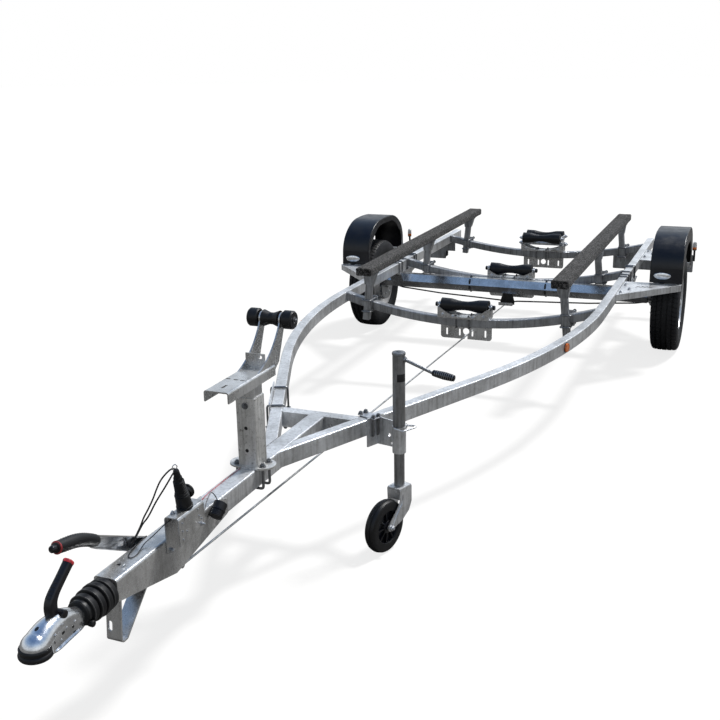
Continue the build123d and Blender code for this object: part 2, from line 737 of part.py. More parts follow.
def mudguard_brackets():
    """Folded brackets on both rails, mirror images before and behind the wheels."""
    sheet = 4
    near_wheel = 430
    outline = (
        (RAIL_OUTER + 1, -766),
        (GUARD_OUT - 2, -386),
        (GUARD_OUT - 2, -345),
        (RAIL_OUTER + 40, -near_wheel + 60),
        (RAIL_OUTER + 1, -near_wheel + 60),
    )
    with BuildPart() as bracket:
        with BuildSketch(Plane.XY.offset(BRACKET_TOP)):
            with BuildLine():
                Polyline(*outline, close=True)
            make_face()
            with Locations((RAIL_OUTER + 130, -500)):
                with Locations((-36, 0), (-12, 0), (12, 0), (36, 0)):
                    SlotCenterToCenter(44, 9, rotation=65, mode=Mode.SUBTRACT)
        extrude(amount=-sheet)
        # flange folded down along the slanted edge
        with BuildSketch(Plane.XY.offset(BRACKET_TOP)):
            with BuildLine():
                edge = Line(outline[0], outline[1])
                inner = Line((outline[1][0], outline[1][1] + 5.2), (outline[0][0], outline[0][1] + 5.2))
                Line(edge @ 1, inner @ 0)
                Line(inner @ 1, edge @ 0)
            make_face()
        extrude(amount=-BRACKET_FLANGE)
        mirror(about=Plane.XZ)
        mirror(about=Plane.YZ)
    return bracket.part


# ---------------------------------------------------------------- keel rollers
ROLLER_HALF, ROLLER_END_R, ROLLER_WAIST_R = 142, 41, 26
SPINDLE_R = 8


def keel_roller(y, z):
    """Rubber roller with a hollowed waist on a bore for its spindle."""
    with BuildPart() as roller:
        with BuildSketch(Plane.XZ.offset(-y)):
            with BuildLine():
                Line((-ROLLER_HALF, z + SPINDLE_R + 0.08), (-ROLLER_HALF, z + ROLLER_END_R))
                Line((-ROLLER_HALF, z + ROLLER_END_R), (-ROLLER_HALF + 60, z + ROLLER_END_R - 2))
                ThreePointArc((-ROLLER_HALF + 60, z + ROLLER_END_R - 2), (0, z + ROLLER_WAIST_R),
                              (ROLLER_HALF - 60, z + ROLLER_END_R - 2))
                Line((ROLLER_HALF - 60, z + ROLLER_END_R - 2), (ROLLER_HALF, z + ROLLER_END_R))
                Line((ROLLER_HALF, z + ROLLER_END_R), (ROLLER_HALF, z + SPINDLE_R + 0.08))
                Line((ROLLER_HALF, z + SPINDLE_R + 0.08), (-ROLLER_HALF, z + SPINDLE_R + 0.08))
            make_face()
        revolve(axis=Axis((0, y, z), (1, 0, 0)))
    return roller.part


def keel_bracket(front, middle_top, axis_z, half, notch):
    """Cradle on a crossmember: channel with hollowed webs, two ears and a slotted back plate.

    The plate's lower edge has a notch of the given height where the brake rod passes.
    """
    sheet, depth = 5, 96
    middle = front + BEAM / 2
    ear_r = 16
    back_half, back_height = 155, 142
    hole_drop, hole_r = 93, 19.5
    slot_drop = 100
    # the flat channel bears on the bowed beam at its two ends
    seat = middle_top + half**2 / (2 * bow_radius(middle_top)) + 0.1
    tip = (half - 14, axis_z - 6)
    with BuildPart() as bracket:
        with BuildSketch(Plane.XY.offset(seat)):
            with Locations((0, middle)):
                Rectangle(2 * half, depth)
        extrude(amount=sheet)
        # front and rear webs with their hollow top edges
        for face in (middle - depth / 2 + sheet, middle + depth / 2):
            with BuildSketch(Plane.XZ.offset(-face)):
                with BuildLine():
                    Polyline((-tip[0], tip[1]), (-half, tip[1]), (-half, seat), (half, seat),
                             (half, tip[1]), tip)
                    ThreePointArc(tip, (0, seat + 9), (-tip[0], tip[1]))
                make_face()
            extrude(amount=sheet)
        # ears that hold the spindle
        for side in (1, -1):
            with BuildSketch(across(sheet, side * (half - sheet / 2))):
                with BuildLine():
                    Polyline((middle - ear_r, axis_z), (middle - depth / 2, tip[1]),
                             (middle - depth / 2, seat), (middle + depth / 2, seat),
                             (middle + depth / 2, tip[1]), (middle + ear_r, axis_z))
                    ThreePointArc((middle + ear_r, axis_z), (middle, axis_z + ear_r),
                                  (middle - ear_r, axis_z))
                make_face()
            extrude(amount=sheet)
        with Locations((0, middle, axis_z)):
            Cylinder(SPINDLE_R, 2 * half + 36, rotation=(0, 90, 0))
        with BuildSketch(Plane.XZ.offset(-front - BEAM - sheet)):
            with Locations((0, seat + 2 - back_height / 2)):
                RectangleRounded(2 * back_half, back_height, 18)
            with Locations((0, seat - hole_drop)):
                Circle(hole_r, mode=Mode.SUBTRACT)
            with Locations(*[(x, seat - slot_drop) for x in (-117, -38.5, 38.5, 117)]):
                SlotCenterToCenter(31, 11, rotation=90, mode=Mode.SUBTRACT)
            if notch:
                with Locations((0, seat + 2 - back_height)):
                    Rectangle(18, 2 * notch, mode=Mode.SUBTRACT)
        extrude(amount=sheet)
    return bracket.part


# ---------------------------------------------------------------- bunks
def bunk():
    """Left carpeted bunk board with rounded edges, rising a little to the rear."""
    middle_y = (BUNK_FRONT + BUNK_REAR) / 2
    with BuildPart() as board:
        with BuildSketch(Plane.XZ.offset(-(BUNK_REAR - BUNK_FRONT) / 2)):
            with Locations((0, -BUNK_T / 2)):
                RectangleRounded(BUNK_W, BUNK_T, 10)
        extrude(amount=BUNK_REAR - BUNK_FRONT)
    turned = Rot(X=degrees(atan(BUNK_RISE)), Z=-degrees(atan(BUNK_SPREAD))) * board.part
    return Pos(BUNK_X, middle_y, BUNK_TOP) * turned


def bunk_posts():
    """Rows of three leaning posts, each with a tapered saddle that follows the bunk's slope."""
    tube = 40
    lean = radians(POST_LEAN)
    middle_y = (BUNK_FRONT + BUNK_REAR) / 2
    with BuildPart() as posts:
        for name, front, middle_top, length in CROSSMEMBERS:
            y = front - tube / 2
            x = BUNK_X + (y - middle_y) * BUNK_SPREAD
            under = BUNK_TOP + (y - middle_y) * BUNK_RISE - BUNK_T - 0.3
            down = Plane(origin=(x, y, under - 10), x_dir=(cos(lean), 0, sin(lean)),
                         z_dir=(sin(lean), 0, -cos(lean)))
            with BuildSketch(down):
                RectangleRounded(tube, tube, 4)
            extrude(amount=length)
            seat = Plane(origin=(x, y, under), x_dir=(1, -BUNK_SPREAD, 0),
                         z_dir=(0, -BUNK_RISE, 1))
            with BuildSketch(seat):
                RectangleRounded(88, 64, 6)
            extrude(amount=-4)
            with BuildSketch(seat.offset(-4)):
                Rectangle(76, 52)
            with BuildSketch(Plane.XY.offset(under - 70)):
                with Locations((x + 6, y)):
                    Rectangle(tube + 8, tube + 8)
            loft()
        mirror(about=Plane.YZ)
    return posts.part


# ---------------------------------------------------------------- lamps and small fittings
LAMP_Y, LAMP_Z = 1000, 384
LAMP_IN, LAMP_OUT = 527, 1104
LAMP_IN_RIGHT = 800


def lamp_plates():
    """Folded plates behind the frame, hung from the rails, that carry the lamps."""
    sheet = 3
    hanger = 90
    with BuildPart() as plates:
        # side, inner end: the left plate reaches further in
        for side, inner in ((1, LAMP_IN), (-1, LAMP_IN_RIGHT)):
            with BuildSketch(Plane.XZ.offset(-LAMP_Y - sheet)):
                with Locations((side * (inner + LAMP_OUT) / 2, LAMP_Z)):
                    RectangleRounded(LAMP_OUT - inner, 130, 8)
                with Locations((side * RAIL_X, (RAIL_BOTTOM + LAMP_Z) / 2)):
                    Rectangle(hanger, RAIL_BOTTOM - LAMP_Z)
            extrude(amount=sheet)
            with BuildSketch(Plane.XY.offset(RAIL_BOTTOM)):
                with Locations((side * RAIL_X, LAMP_Y + 30)):
                    Rectangle(hanger, 60)
            extrude(amount=-sheet)
    return plates.part


def tail_lamps():
    """Lamp clusters behind the plates, and the stalk lamps that mark the trailer's width."""
    rear = LAMP_Y + 3
    stalk_y, stalk_z = LAMP_Y - 14, 470
    with BuildPart() as lamps:
        with BuildSketch(Plane.XZ.offset(-rear)):
            with Locations((900, LAMP_Z)):
                RectangleRounded(220, 100, 14)
        extrude(amount=-42)
        with BuildSketch(across(0, LAMP_OUT)):
            with BuildLine():
                Polyline((rear, 400), (rear, 440), (stalk_y + 12, stalk_z + 30),
                         (stalk_y - 12, stalk_z + 30), (stalk_y - 12, stalk_z - 10),
                         (LAMP_Y - 6, 400), close=True)
            make_face()
        extrude(amount=10)
        with BuildSketch(Plane.XY.offset(stalk_z + 20)):
            with Locations((LAMP_OUT + 4, stalk_y)):
                Circle(15)
        extrude(amount=62, taper=4)
        mirror(about=Plane.YZ)
    return lamps.part


def side_markers():
    """Orange marker lamps on the outer faces of both rails, on the bend."""
    angle = radians(11.5)
    reach = RAIL_BEND_R + RAIL_W / 2
    foot = Vector(RAIL_X - RAIL_BEND_R + reach * cos(angle), RAIL_BEND_END - reach * sin(angle),
                  RAIL_MID)
    with BuildPart() as markers:
        with BuildSketch(Plane(origin=foot, z_dir=(cos(angle), -sin(angle), 0))):
            Circle(24)
        extrude(amount=10, taper=12)
        mirror(about=Plane.YZ)
    return markers.part


def rail_clamps():
    """U-bolts that hold the axle and the mudguard brackets on the rails."""
    rod = 6
    with BuildPart() as clamps:
        for y in CLAMP_Y:
            with BuildSketch(Plane.XZ.offset(-y - rod)):
                with Locations((RAIL_X, RAIL_MID - 4)):
                    RectangleRounded(RAIL_W + 4 * rod, RAIL_H + 8 + 3 * rod, 10)
                    Rectangle(RAIL_W + 0.6, RAIL_H + 8.6, mode=Mode.SUBTRACT)
            extrude(amount=2 * rod)
        mirror(about=Plane.YZ)
    return clamps.part


BALANCE_Y, BALANCE_Z = -215, 274


def brake_rod():
    """Pull rod under the frame, from the overrun lever to the balance bar before the axle."""
    lever_y, lever_low, pin_z = -4290, 374, 428
    rod_r, sheet = 4, 6
    with BuildPart() as rod:
        with BuildLine() as path:
            Line((0, lever_y, lever_low), (0, BALANCE_Y, BALANCE_Z))
        with BuildSketch(Plane(origin=path.line @ 0, z_dir=path.line % 0)):
            Circle(rod_r)
        sweep(path=path.line)
        with BuildSketch(across(sheet)):
            with Locations((lever_y, (lever_low + pin_z) / 2)):
                SlotCenterToCenter(pin_z - lever_low, 22, rotation=90)
        extrude(amount=sheet)
        with Locations((0, lever_y, pin_z)):
            Cylinder(6, DRAWBAR - 0.2, rotation=(0, 90, 0))
        with Locations((0, BALANCE_Y, BALANCE_Z)):
            Box(96, 8, 20)
    return rod.part


# ---------------------------------------------------------------- jockey wheel
def jockey_clamp():
    """Bracket bolted on the left rail, with the split collar and the bent rod of its screw."""
    normal = Vector(cos(ALPHA), -sin(ALPHA), 0)
    axis = Vector(JOCKEY_X, JOCKEY_Y, 0)
    face_x = rail_x(JOCKEY_Y) + RAIL_W / 2 / cos(ALPHA)
    gap = (axis - Vector(face_x, JOCKEY_Y, 0)).dot(normal)
    foot = axis - normal * gap
    collar_in, collar_out = JOCKEY_R + 0.3, JOCKEY_R + 2.5
    web_back = collar_in + 6
    low, high = 412, 529
    base = Plane(origin=(foot.X, foot.Y, 0), x_dir=normal, z_dir=(0, 0, 1))
    with BuildPart() as clamp:
        # plate on the rail's face
        with BuildSketch(base.offset(low)):
            with Locations((3.1, 16)):
                Rectangle(6, 92)
        extrude(amount=high - low)
        # web behind the tube, cut away below
        with BuildSketch(Plane(origin=foot + Vector(sin(ALPHA), cos(ALPHA), 0) * web_back,
                               x_dir=normal, z_dir=(-sin(ALPHA), -cos(ALPHA), 0))):
            with BuildLine():
                Polyline((3, low), (gap, low + 14), (gap, high), (3, high - 2), close=True)
            make_face()
            with Locations((gap - 76, 466)):
                Circle(7, mode=Mode.SUBTRACT)
            with Locations((gap - 64, 434)):
                Rectangle(9, 9, mode=Mode.SUBTRACT)
        extrude(amount=5)
        with BuildSketch(base.offset(low + 11)):
            with Locations((gap, 0)):
                Circle(collar_out)
                Circle(collar_in, mode=Mode.SUBTRACT)
        extrude(amount=high - low - 11)
        # clamping rod bent round the tube
        with BuildLine() as handle:
            FilletPolyline((346, -3327, high - 3), (389, -3352, high), (424, -3300, high + 4),
                           (410, -3284, high + 2), (377, -3279, high - 3), radius=8)
        with BuildSketch(Plane(origin=handle.line @ 0, z_dir=handle.line % 0)):
            Circle(3.5)
        sweep(path=handle.line)
    return clamp.part


def jockey_tube():
    """Outer tube of the jockey leg with its cap and folding crank."""
    bottom = JOCKEY_BOTTOM
    with BuildPart() as tube:
        with BuildSketch(Plane.XY.offset(bottom)):
            with Locations((JOCKEY_X, JOCKEY_Y)):
                Circle(JOCKEY_R)
                Circle(JOCKEY_R - 3, mode=Mode.SUBTRACT)
        extrude(amount=JOCKEY_TOP - bottom)
        with BuildSketch(Plane.XY.offset(JOCKEY_TOP - 6)):
            with Locations((JOCKEY_X, JOCKEY_Y)):
                Circle(JOCKEY_R)
        extrude(amount=6)
        with BuildLine() as path:
            Line((JOCKEY_X + JOCKEY_R - 1, JOCKEY_Y, 795), (490, JOCKEY_Y, 754))
        with BuildSketch(Plane(origin=path.line @ 0, z_dir=path.line % 0)):
            Circle(6.5)
        sweep(path=path.line)
        # barrel grip: distance along it, radius
        grip = ((0, 8), (6, 12), (45, 14.5), (80, 12), (87, 8))
        with BuildSketch(Plane(origin=(488, JOCKEY_Y, 755), x_dir=(86, 0, -14), z_dir=(0, -1, 0))):
            with BuildLine():
                Polyline((0, 0), *grip, (grip[-1][0], 0), close=True)
            make_face()
        revolve(axis=Axis((488, JOCKEY_Y, 755), (86, 0, -14)))
    return tube.part


FORK_TOP = 286


def jockey_leg():
    """Inner tube, wound up and down inside the outer one."""
    travel_room = 394
    with BuildPart() as leg:
        with BuildSketch(Plane.XY.offset(FORK_TOP + 1)):
            with Locations((JOCKEY_X, JOCKEY_Y)):
                Circle(JOCKEY_R - 3.6)
        extrude(amount=travel_room)
        with BuildSketch(Plane.XY.offset(FORK_TOP + 12)):
            with Locations((JOCKEY_X, JOCKEY_Y)):
                Circle(JOCKEY_R - 7)
        extrude(amount=travel_room, mode=Mode.SUBTRACT)
        # swivel pin through the fork's crown
        with BuildSketch(Plane.XY.offset(FORK_TOP - 12)):
            with Locations((JOCKEY_X, JOCKEY_Y)):
                Circle(SPINDLE_R)
        extrude(amount=14)
    return leg.part


def jockey_frame():
    """Plane at the foot of the leg, its X along the wheel's axle."""
    turn = radians(JOCKEY_YAW)
    return Plane(origin=(JOCKEY_X, JOCKEY_Y, 0), x_dir=(cos(turn), sin(turn), 0), z_dir=(0, 0, 1))


def jockey_fork():
    """Pressed fork: skirted crown and two broad legs swept forward to the axle."""
    inner = JOCKEY_WHEEL_W / 2 + 5
    sheet = 4
    half = 38
    z_axle = JOCKEY_WHEEL_Z
    with BuildPart() as fork:
        with BuildSketch(Plane.XY.offset(FORK_TOP)):
            RectangleRounded(2 * (inner + sheet), 2 * half, 6)
            Circle(SPINDLE_R + 0.08, mode=Mode.SUBTRACT)
        extrude(amount=-sheet)
        # front skirt of the crown
        with BuildSketch(Plane.XZ.offset(half)):
            with Locations((0, FORK_TOP - 6 - 19)):
                Rectangle(2 * inner, 38)
        extrude(amount=-sheet)
        for side in (1, -1):
            with BuildSketch(across(sheet, side * (inner + sheet / 2))):
                with BuildLine():
                    Polyline((-half, FORK_TOP - 5), (-half + 2, 236), (-49, 217),
                             (-JOCKEY_TRAIL - 12, z_axle + 8))
                    ThreePointArc((-JOCKEY_TRAIL - 12, z_axle + 8), (-JOCKEY_TRAIL - 10, z_axle - 10),
                                  (-JOCKEY_TRAIL + 7, z_axle - 13))
                    Polyline((-JOCKEY_TRAIL + 7, z_axle - 13), (-24, 155), (20, 182), (half - 8, 200),
                             (half, 216), (half, FORK_TOP - 5), (half - 8, FORK_TOP - 1),
                             (-half + 8, FORK_TOP - 1), (-half, FORK_TOP - 5))
                make_face()
            extrude(amount=sheet)
        with Locations((0, -JOCKEY_TRAIL, z_axle)):
            Cylinder(6, 2 * inner + 22, rotation=(0, 90, 0))
    return jockey_frame().location * fork.part


def jockey_wheel():
    """Solid rubber tyre on a dished plastic centre, bored for its axle."""
    half = JOCKEY_WHEEL_W / 2
    r, z = JOCKEY_WHEEL_R, JOCKEY_WHEEL_Z
    # half of the section: distance from the middle plane, radius
    dish = ((half, 6.1), (half, 20), (10, 26), (10, 62), (half - 2, 66), (half, 72))
    with BuildPart() as wheel:
        with BuildSketch(Plane.XZ.offset(JOCKEY_TRAIL)):
            with BuildLine():
                Polyline(*((-x, z + radius) for x, radius in dish), (-half, z + r - 14))
                ThreePointArc((-half, z + r - 14), (0, z + r), (half, z + r - 14))
                Polyline((half, z + r - 14), *((x, z + radius) for x, radius in reversed(dish)),
                         (-half, z + dish[0][1]))
            make_face()
        revolve(axis=Axis((0, -JOCKEY_TRAIL, z), (1, 0, 0)))
    return jockey_frame().location * wheel.part


# ---------------------------------------------------------------- rear rocker
ROCKER_Y, ROCKER_Z = 952, 491
ROCKER_ROLLER_DY, ROCKER_ROLLER_Z = 68, 541


def keel_rocker():
    """Two side plates on the pivot bolt, a spindle hole for each roller."""
    sheet = 5
    plate_x = ROLLER_HALF + 4 + sheet / 2
    with BuildPart() as rocker:
        for side in (1, -1):
            with BuildSketch(across(sheet, side * plate_x)):
                with BuildLine():
                    Polyline((ROCKER_Y - 18, ROCKER_Z - 14), (ROCKER_Y + 18, ROCKER_Z - 14),
                             (ROCKER_Y + ROCKER_ROLLER_DY + 14, ROCKER_ROLLER_Z - 4),
                             (ROCKER_Y + ROCKER_ROLLER_DY + 8, ROCKER_ROLLER_Z + 14),
                             (ROCKER_Y - ROCKER_ROLLER_DY - 8, ROCKER_ROLLER_Z + 14),
                             (ROCKER_Y - ROCKER_ROLLER_DY - 14, ROCKER_ROLLER_Z - 4), close=True)
                make_face()
            extrude(amount=sheet)
        with Locations((0, ROCKER_Y - ROCKER_ROLLER_DY, ROCKER_ROLLER_Z),
                       (0, ROCKER_Y + ROCKER_ROLLER_DY, ROCKER_ROLLER_Z)):
            Cylinder(SPINDLE_R, 2 * plate_x + 26, rotation=(0, 90, 0))
        with Locations((0, ROCKER_Y, ROCKER_Z)):
            Cylinder(13, 2 * plate_x, rotation=(0, 90, 0))
            Cylinder(SPINDLE_R + 0.08, 2 * plate_x + 20, rotation=(0, 90, 0), mode=Mode.SUBTRACT)
    return rocker.part


def brake_cables():
    """Bracket under the axle and the two brake cables that run from it to the drums."""
    bracket_y, bracket_top = AXLE_Y, AXLE_Z - AXLE_FLAT / 2
    backplate_x = WHEEL_X - 100.2
    sheet, cable_r, wire_r, start_x = 5, 5, 2.5, 32
    with BuildPart() as cables:
        with BuildSketch(Plane.XZ.offset(-bracket_y - sheet)):
            with BuildLine():
                Polyline((-30, bracket_top), (-48, BALANCE_Z + 12), (-48, BALANCE_Z - 14),
                         (48, BALANCE_Z - 14), (48, BALANCE_Z + 12), (30, bracket_top), close=True)
            make_face()
        extrude(amount=sheet)
        # inner wire from the balance bar, outer cable on to the drum
        with Locations((start_x, (BALANCE_Y + 4.2 + bracket_y) / 2, BALANCE_Z)):
            Cylinder(wire_r, bracket_y - BALANCE_Y - 4.2, rotation=(90, 0, 0))
        with BuildLine() as path:
            FilletPolyline((start_x, bracket_y + sheet / 2, BALANCE_Z),
                           (start_x + 10, bracket_y + 60, BALANCE_Z - 2),
                           (220, -70, BALANCE_Z - 2), (520, -40, BALANCE_Z + 4),
                           (820, 20, 288), (890, 64, 292), (backplate_x, 64, 292), radius=34)
        with BuildSketch(Plane(origin=path.line @ 0, z_dir=path.line % 0)):
            Circle(cable_r)
        sweep(path=path.line)
        mirror(about=Plane.YZ)
    return cables.part


def rail_plate():
    """Bare mounting plate on the outer face of the right rail's slanted part."""
    y_front, y_rear, low, high, sheet = -3270, -3000, 440, 545, 6
    slack = RAIL_W / 2 / cos(ALPHA)
    start = Vector(rail_x(y_front) + slack, y_front, low)
    along = Vector(sin(ALPHA), cos(ALPHA), 0)
    normal = Vector(cos(ALPHA), -sin(ALPHA), 0)
    length = (y_rear - y_front) / cos(ALPHA)
    with BuildPart() as plate:
        with BuildSketch(Plane(origin=start + normal * 0.1, x_dir=along, z_dir=normal)):
            with Locations((length / 2, (high - low) / 2)):
                RectangleRounded(length, high - low, 10)
            with Locations(*[(length / 2 + shift, (high - low) / 2 + 36) for shift in (-40, 40)]):
                SlotCenterToCenter(20, 9, mode=Mode.SUBTRACT)
        extrude(amount=sheet)
        mirror(about=Plane.YZ, mode=Mode.REPLACE)
    return plate.part


# ---------------------------------------------------------------- assembly
rail = side_rail()
keep("rail_left", rail)
keep("rail_right", mirrored(rail))
keep("drawbar", drawbar())
keep("cross_tube", cross_tube())
for name, front, middle_top, length in CROSSMEMBERS:
    keep(name, crossmember(front, middle_top))
keep("coupling_housing", coupling_housing())
keep("coupling_head", coupling_head())
keep("coupling_handle", coupling_handle(pieces["coupling_head"]))
keep("soft_dock_ring", soft_dock_ring())
keep("bellows", bellows())
lever, grip = handbrake()
keep("handbrake_lever", lever)
keep("handbrake_grip", grip)
keep("plug_bracket", plug_bracket())
keep("trailer_plug", trailer_plug())
keep("socket_cap", socket_cap())
keep("support_leg", support_leg())
keep("winch_post", winch_post())
keep("winch_stand", winch_stand())
keep("bow_roller", bow_roller())
keep("axle_beam", axle_beam())
for make in (axle_arms, mudguard_brackets, bunk_posts, lamp_plates, tail_lamps, rail_clamps,
             side_markers):
    keep(make.__name__, make())
for make in (tyre, rim, mudguard, bunk):
    solid = make()
    keep(make.__name__ + "_left", solid)
    keep(make.__name__ + "_right", mirrored(solid))
keep("brake_rod", brake_rod())
keep("brake_cables", brake_cables())
keep("rail_plate", rail_plate())
keep("jockey_clamp", jockey_clamp())
keep("jockey_tube", jockey_tube())
keep("jockey_leg", jockey_leg())
keep("jockey_fork", jockey_fork())
keep("jockey_wheel", jockey_wheel())

# name, crossmember front y, its middle top, roller axis height, notch for the brake rod
CRADLES = (
    ("front", -1215, 413, 486, 27),
    ("middle", -99, 424, 486, 0),
)
for name, front, seat, axis_z, notch in CRADLES:
    keep("keel_bracket_" + name, keel_bracket(front, seat, axis_z, ROLLER_HALF + 12, notch))
    keep("keel_roller_" + name, keel_roller(front + BEAM / 2, axis_z))
keep("keel_bracket_rear", keel_bracket(ROCKER_Y - BEAM / 2, 431, ROCKER_Z, ROLLER_HALF + 20, 0))
keep("keel_rocker", keel_rocker())
keep("keel_roller_rear_front", keel_roller(ROCKER_Y - ROCKER_ROLLER_DY, ROCKER_ROLLER_Z))
keep("keel_roller_rear_back", keel_roller(ROCKER_Y + ROCKER_ROLLER_DY, ROCKER_ROLLER_Z))

os.makedirs("parts", exist_ok=True)
for name, solid in pieces.items():
    piece = PARKED * solid
    piece.label = name
    export_step(piece, f"parts/{name}.step")
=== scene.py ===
"""Boat trailer: finishes, fixings, cables, tyres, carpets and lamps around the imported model.

Places are written in chassis millimetres, as the trailer would stand level: X across with its left
side positive, Y along with the road wheels' axis at zero and the coupling negative, Z up.
"""
import bpy
import numpy as np
from mathutils import Matrix, Vector


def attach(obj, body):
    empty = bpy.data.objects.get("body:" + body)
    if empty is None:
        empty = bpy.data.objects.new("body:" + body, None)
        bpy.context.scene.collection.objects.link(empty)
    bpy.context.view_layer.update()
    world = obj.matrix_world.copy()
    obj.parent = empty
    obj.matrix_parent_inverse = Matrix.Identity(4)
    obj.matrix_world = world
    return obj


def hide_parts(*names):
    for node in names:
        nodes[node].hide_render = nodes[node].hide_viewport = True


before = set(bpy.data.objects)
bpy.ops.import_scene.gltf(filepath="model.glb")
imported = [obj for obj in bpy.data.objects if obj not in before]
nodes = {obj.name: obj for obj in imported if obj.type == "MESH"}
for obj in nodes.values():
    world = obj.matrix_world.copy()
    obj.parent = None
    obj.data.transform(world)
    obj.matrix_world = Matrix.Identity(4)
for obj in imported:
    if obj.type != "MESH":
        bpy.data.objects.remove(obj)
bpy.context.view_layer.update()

X, Y, Z = np.eye(3)
BOTH = (1, -1)
HANDS = (("left", 1), ("right", -1))
TURN = 2 * np.pi

# sizes of the trailer in chassis millimetres
WHEEL_X, WHEEL_Z = 1034, 313.5                    # middle of the left road wheel
RAIL_X, RAIL_INNER, RAIL_TOP = 768, 743, 522
BEND_R, BEND_END_Y = 3675, -1150                  # curve of a rail, and its end at the straight rear
SLANT = np.radians(23.2)                          # of the rails' straight front part
BALL_Y, BALL_Z, BALL_R = -4956, 493, 25.5
CUP_Z, CUP_R, CUP_WALL_R, CUP_MOUTH = 486, 38, 35.4, 462
SHAFT_Z = 482
POST_Y, POST_HALF = -3810, 37.5
BUNK_X, BUNK_FRONT, BUNK_LENGTH, BUNK_MIDDLE = 578, -1352, 2444, -130
BUNK_RISE, BUNK_SPREAD = 0.007, 0.004
LAMP_X, LAMP_Z, LAMP_PLATE_Y = 900, 384, 1003

AXLE_Y = 1.884730          # row-frame y of the road wheels' axis, metres
HUB_Z = WHEEL_Z / 1000     # its height, metres
TIP = np.arctan(0.0138)    # how far the parked chassis leans nose-down


def parked(points):
    """Chassis millimetres to row-frame metres: turned by TIP about the road wheels' axis."""
    p = np.asarray(points, float) / 1000.0
    y, z = p[..., 1], p[..., 2] - HUB_Z
    return np.stack([p[..., 0], y * np.cos(TIP) - z * np.sin(TIP) + AXLE_Y,
                     y * np.sin(TIP) + z * np.cos(TIP) + HUB_Z], axis=-1)


def added(name, data):
    """New object made of the data, linked into the scene."""
    obj = bpy.data.objects.new(name, data)
    bpy.context.scene.collection.objects.link(obj)
    return obj


# ---- camera
YAW, PITCH, ROLL = 0.4080, 0.2699, -0.0164
EYE = (1.5662, AXLE_Y - 6.6349, 1.7617)
LENS, SHIFT_X, SHIFT_Y = 49.289, 0.0245, -0.0124


def place_camera():
    """Camera low at the front left, turned by YAW, tilted down by PITCH and leaning by ROLL."""
    forward = Vector((-np.sin(YAW) * np.cos(PITCH), np.cos(YAW) * np.cos(PITCH), -np.sin(PITCH)))
    level_right = Vector((np.cos(YAW), np.sin(YAW), 0))
    level_up = level_right.cross(forward)
    right = level_right * np.cos(ROLL) + level_up * np.sin(ROLL)
    up = level_up * np.cos(ROLL) - level_right * np.sin(ROLL)
    data = bpy.data.cameras.new("camera")
    data.sensor_width = 36
    data.lens = LENS
    data.shift_x, data.shift_y = SHIFT_X, SHIFT_Y
    data.clip_end = 400
    camera = added("camera", data)
    camera.matrix_world = Matrix.Translation(EYE) @ Matrix((right, up, -forward)).transposed().to_4x4()
    bpy.context.scene.camera = camera


place_camera()


# ---- shader nodes
def node(tree, kind, **inputs):
    """New shader node; each input named is set to a constant or linked to a socket."""
    made = tree.nodes.new("ShaderNode" + kind)
    for key, value in inputs.items():
        if isinstance(value, bpy.types.NodeSocket):
            tree.links.new(value, made.inputs[key])
        else:
            made.inputs[key].default_value = value
    return made


def ramp(tree, value, *stops):
    """Piecewise-linear curve of value, from (position, level or colour) stops."""
    made = node(tree, "ValToRGB", Fac=value)
    elements = made.color_ramp.elements
    while len(elements) < len(stops):
        elements.new(0.5)
    for element, (place, level) in zip(elements, stops):
        element.position = place
        element.color = (*level, 1) if isinstance(level, tuple) else (level, level, level, 1)
    return made.outputs["Color"]


class Shader:
    """A Principled material whose colour, roughness and height are built from noise fields."""

    def __init__(self, name, color, roughness, metallic=0.0, **constants):
        self.mat = bpy.data.materials.new(name)
        self.mat.use_nodes = True
        self.tree = self.mat.node_tree
        self.bsdf = self.tree.nodes["Principled BSDF"]
        self.coords = node(self.tree, "TexCoord").outputs["Object"]
        constants.update(Base_Color=(*color, 1), Roughness=roughness, Metallic=metallic)
        for key, value in constants.items():
            self.bsdf.inputs[key.replace("_", " ")].default_value = value

    def noise(self, scale, detail, rough, stretch=None):
        """Fractal noise from 0 to 1; stretch scales it per axis."""
        at = self.coords
        if stretch:
            at = node(self.tree, "Mapping", Vector=at, Scale=stretch).outputs["Vector"]
        return node(self.tree, "TexNoise", Vector=at, Scale=scale, Detail=detail,
                    Roughness=rough).outputs["Fac"]

    def cells(self, scale):
        """Voronoi cells, each with a flat random value."""
        return node(self.tree, "TexVoronoi", Vector=self.coords, Scale=scale).outputs["Color"]

    def ramp(self, value, *stops):
        return ramp(self.tree, value, *stops)

    def mix(self, a, b, factor, blend="MIX"):
        """Sockets a and b mixed by a constant factor."""
        made = node(self.tree, "Mix")
        made.data_type = "RGBA"
        made.blend_type = blend
        made.inputs[0].default_value = factor
        self.tree.links.new(a, made.inputs[6])
        self.tree.links.new(b, made.inputs[7])
        return made.outputs[2]

    def finished(self, color, roughness=None, height=None, depth=0.0, strength=0.0):
        """The material with its sockets linked; the surface rises by depth metres where height is 1."""
        sockets = {"Base Color": color, "Roughness": roughness}
        if height is not None:
            bump = node(self.tree, "Bump", Height=height, Distance=depth, Strength=strength)
            sockets["Normal"] = bump.outputs["Normal"]
        for key, socket in sockets.items():
            if socket is not None:
                self.tree.links.new(socket, self.bsdf.inputs[key])
        return self.mat


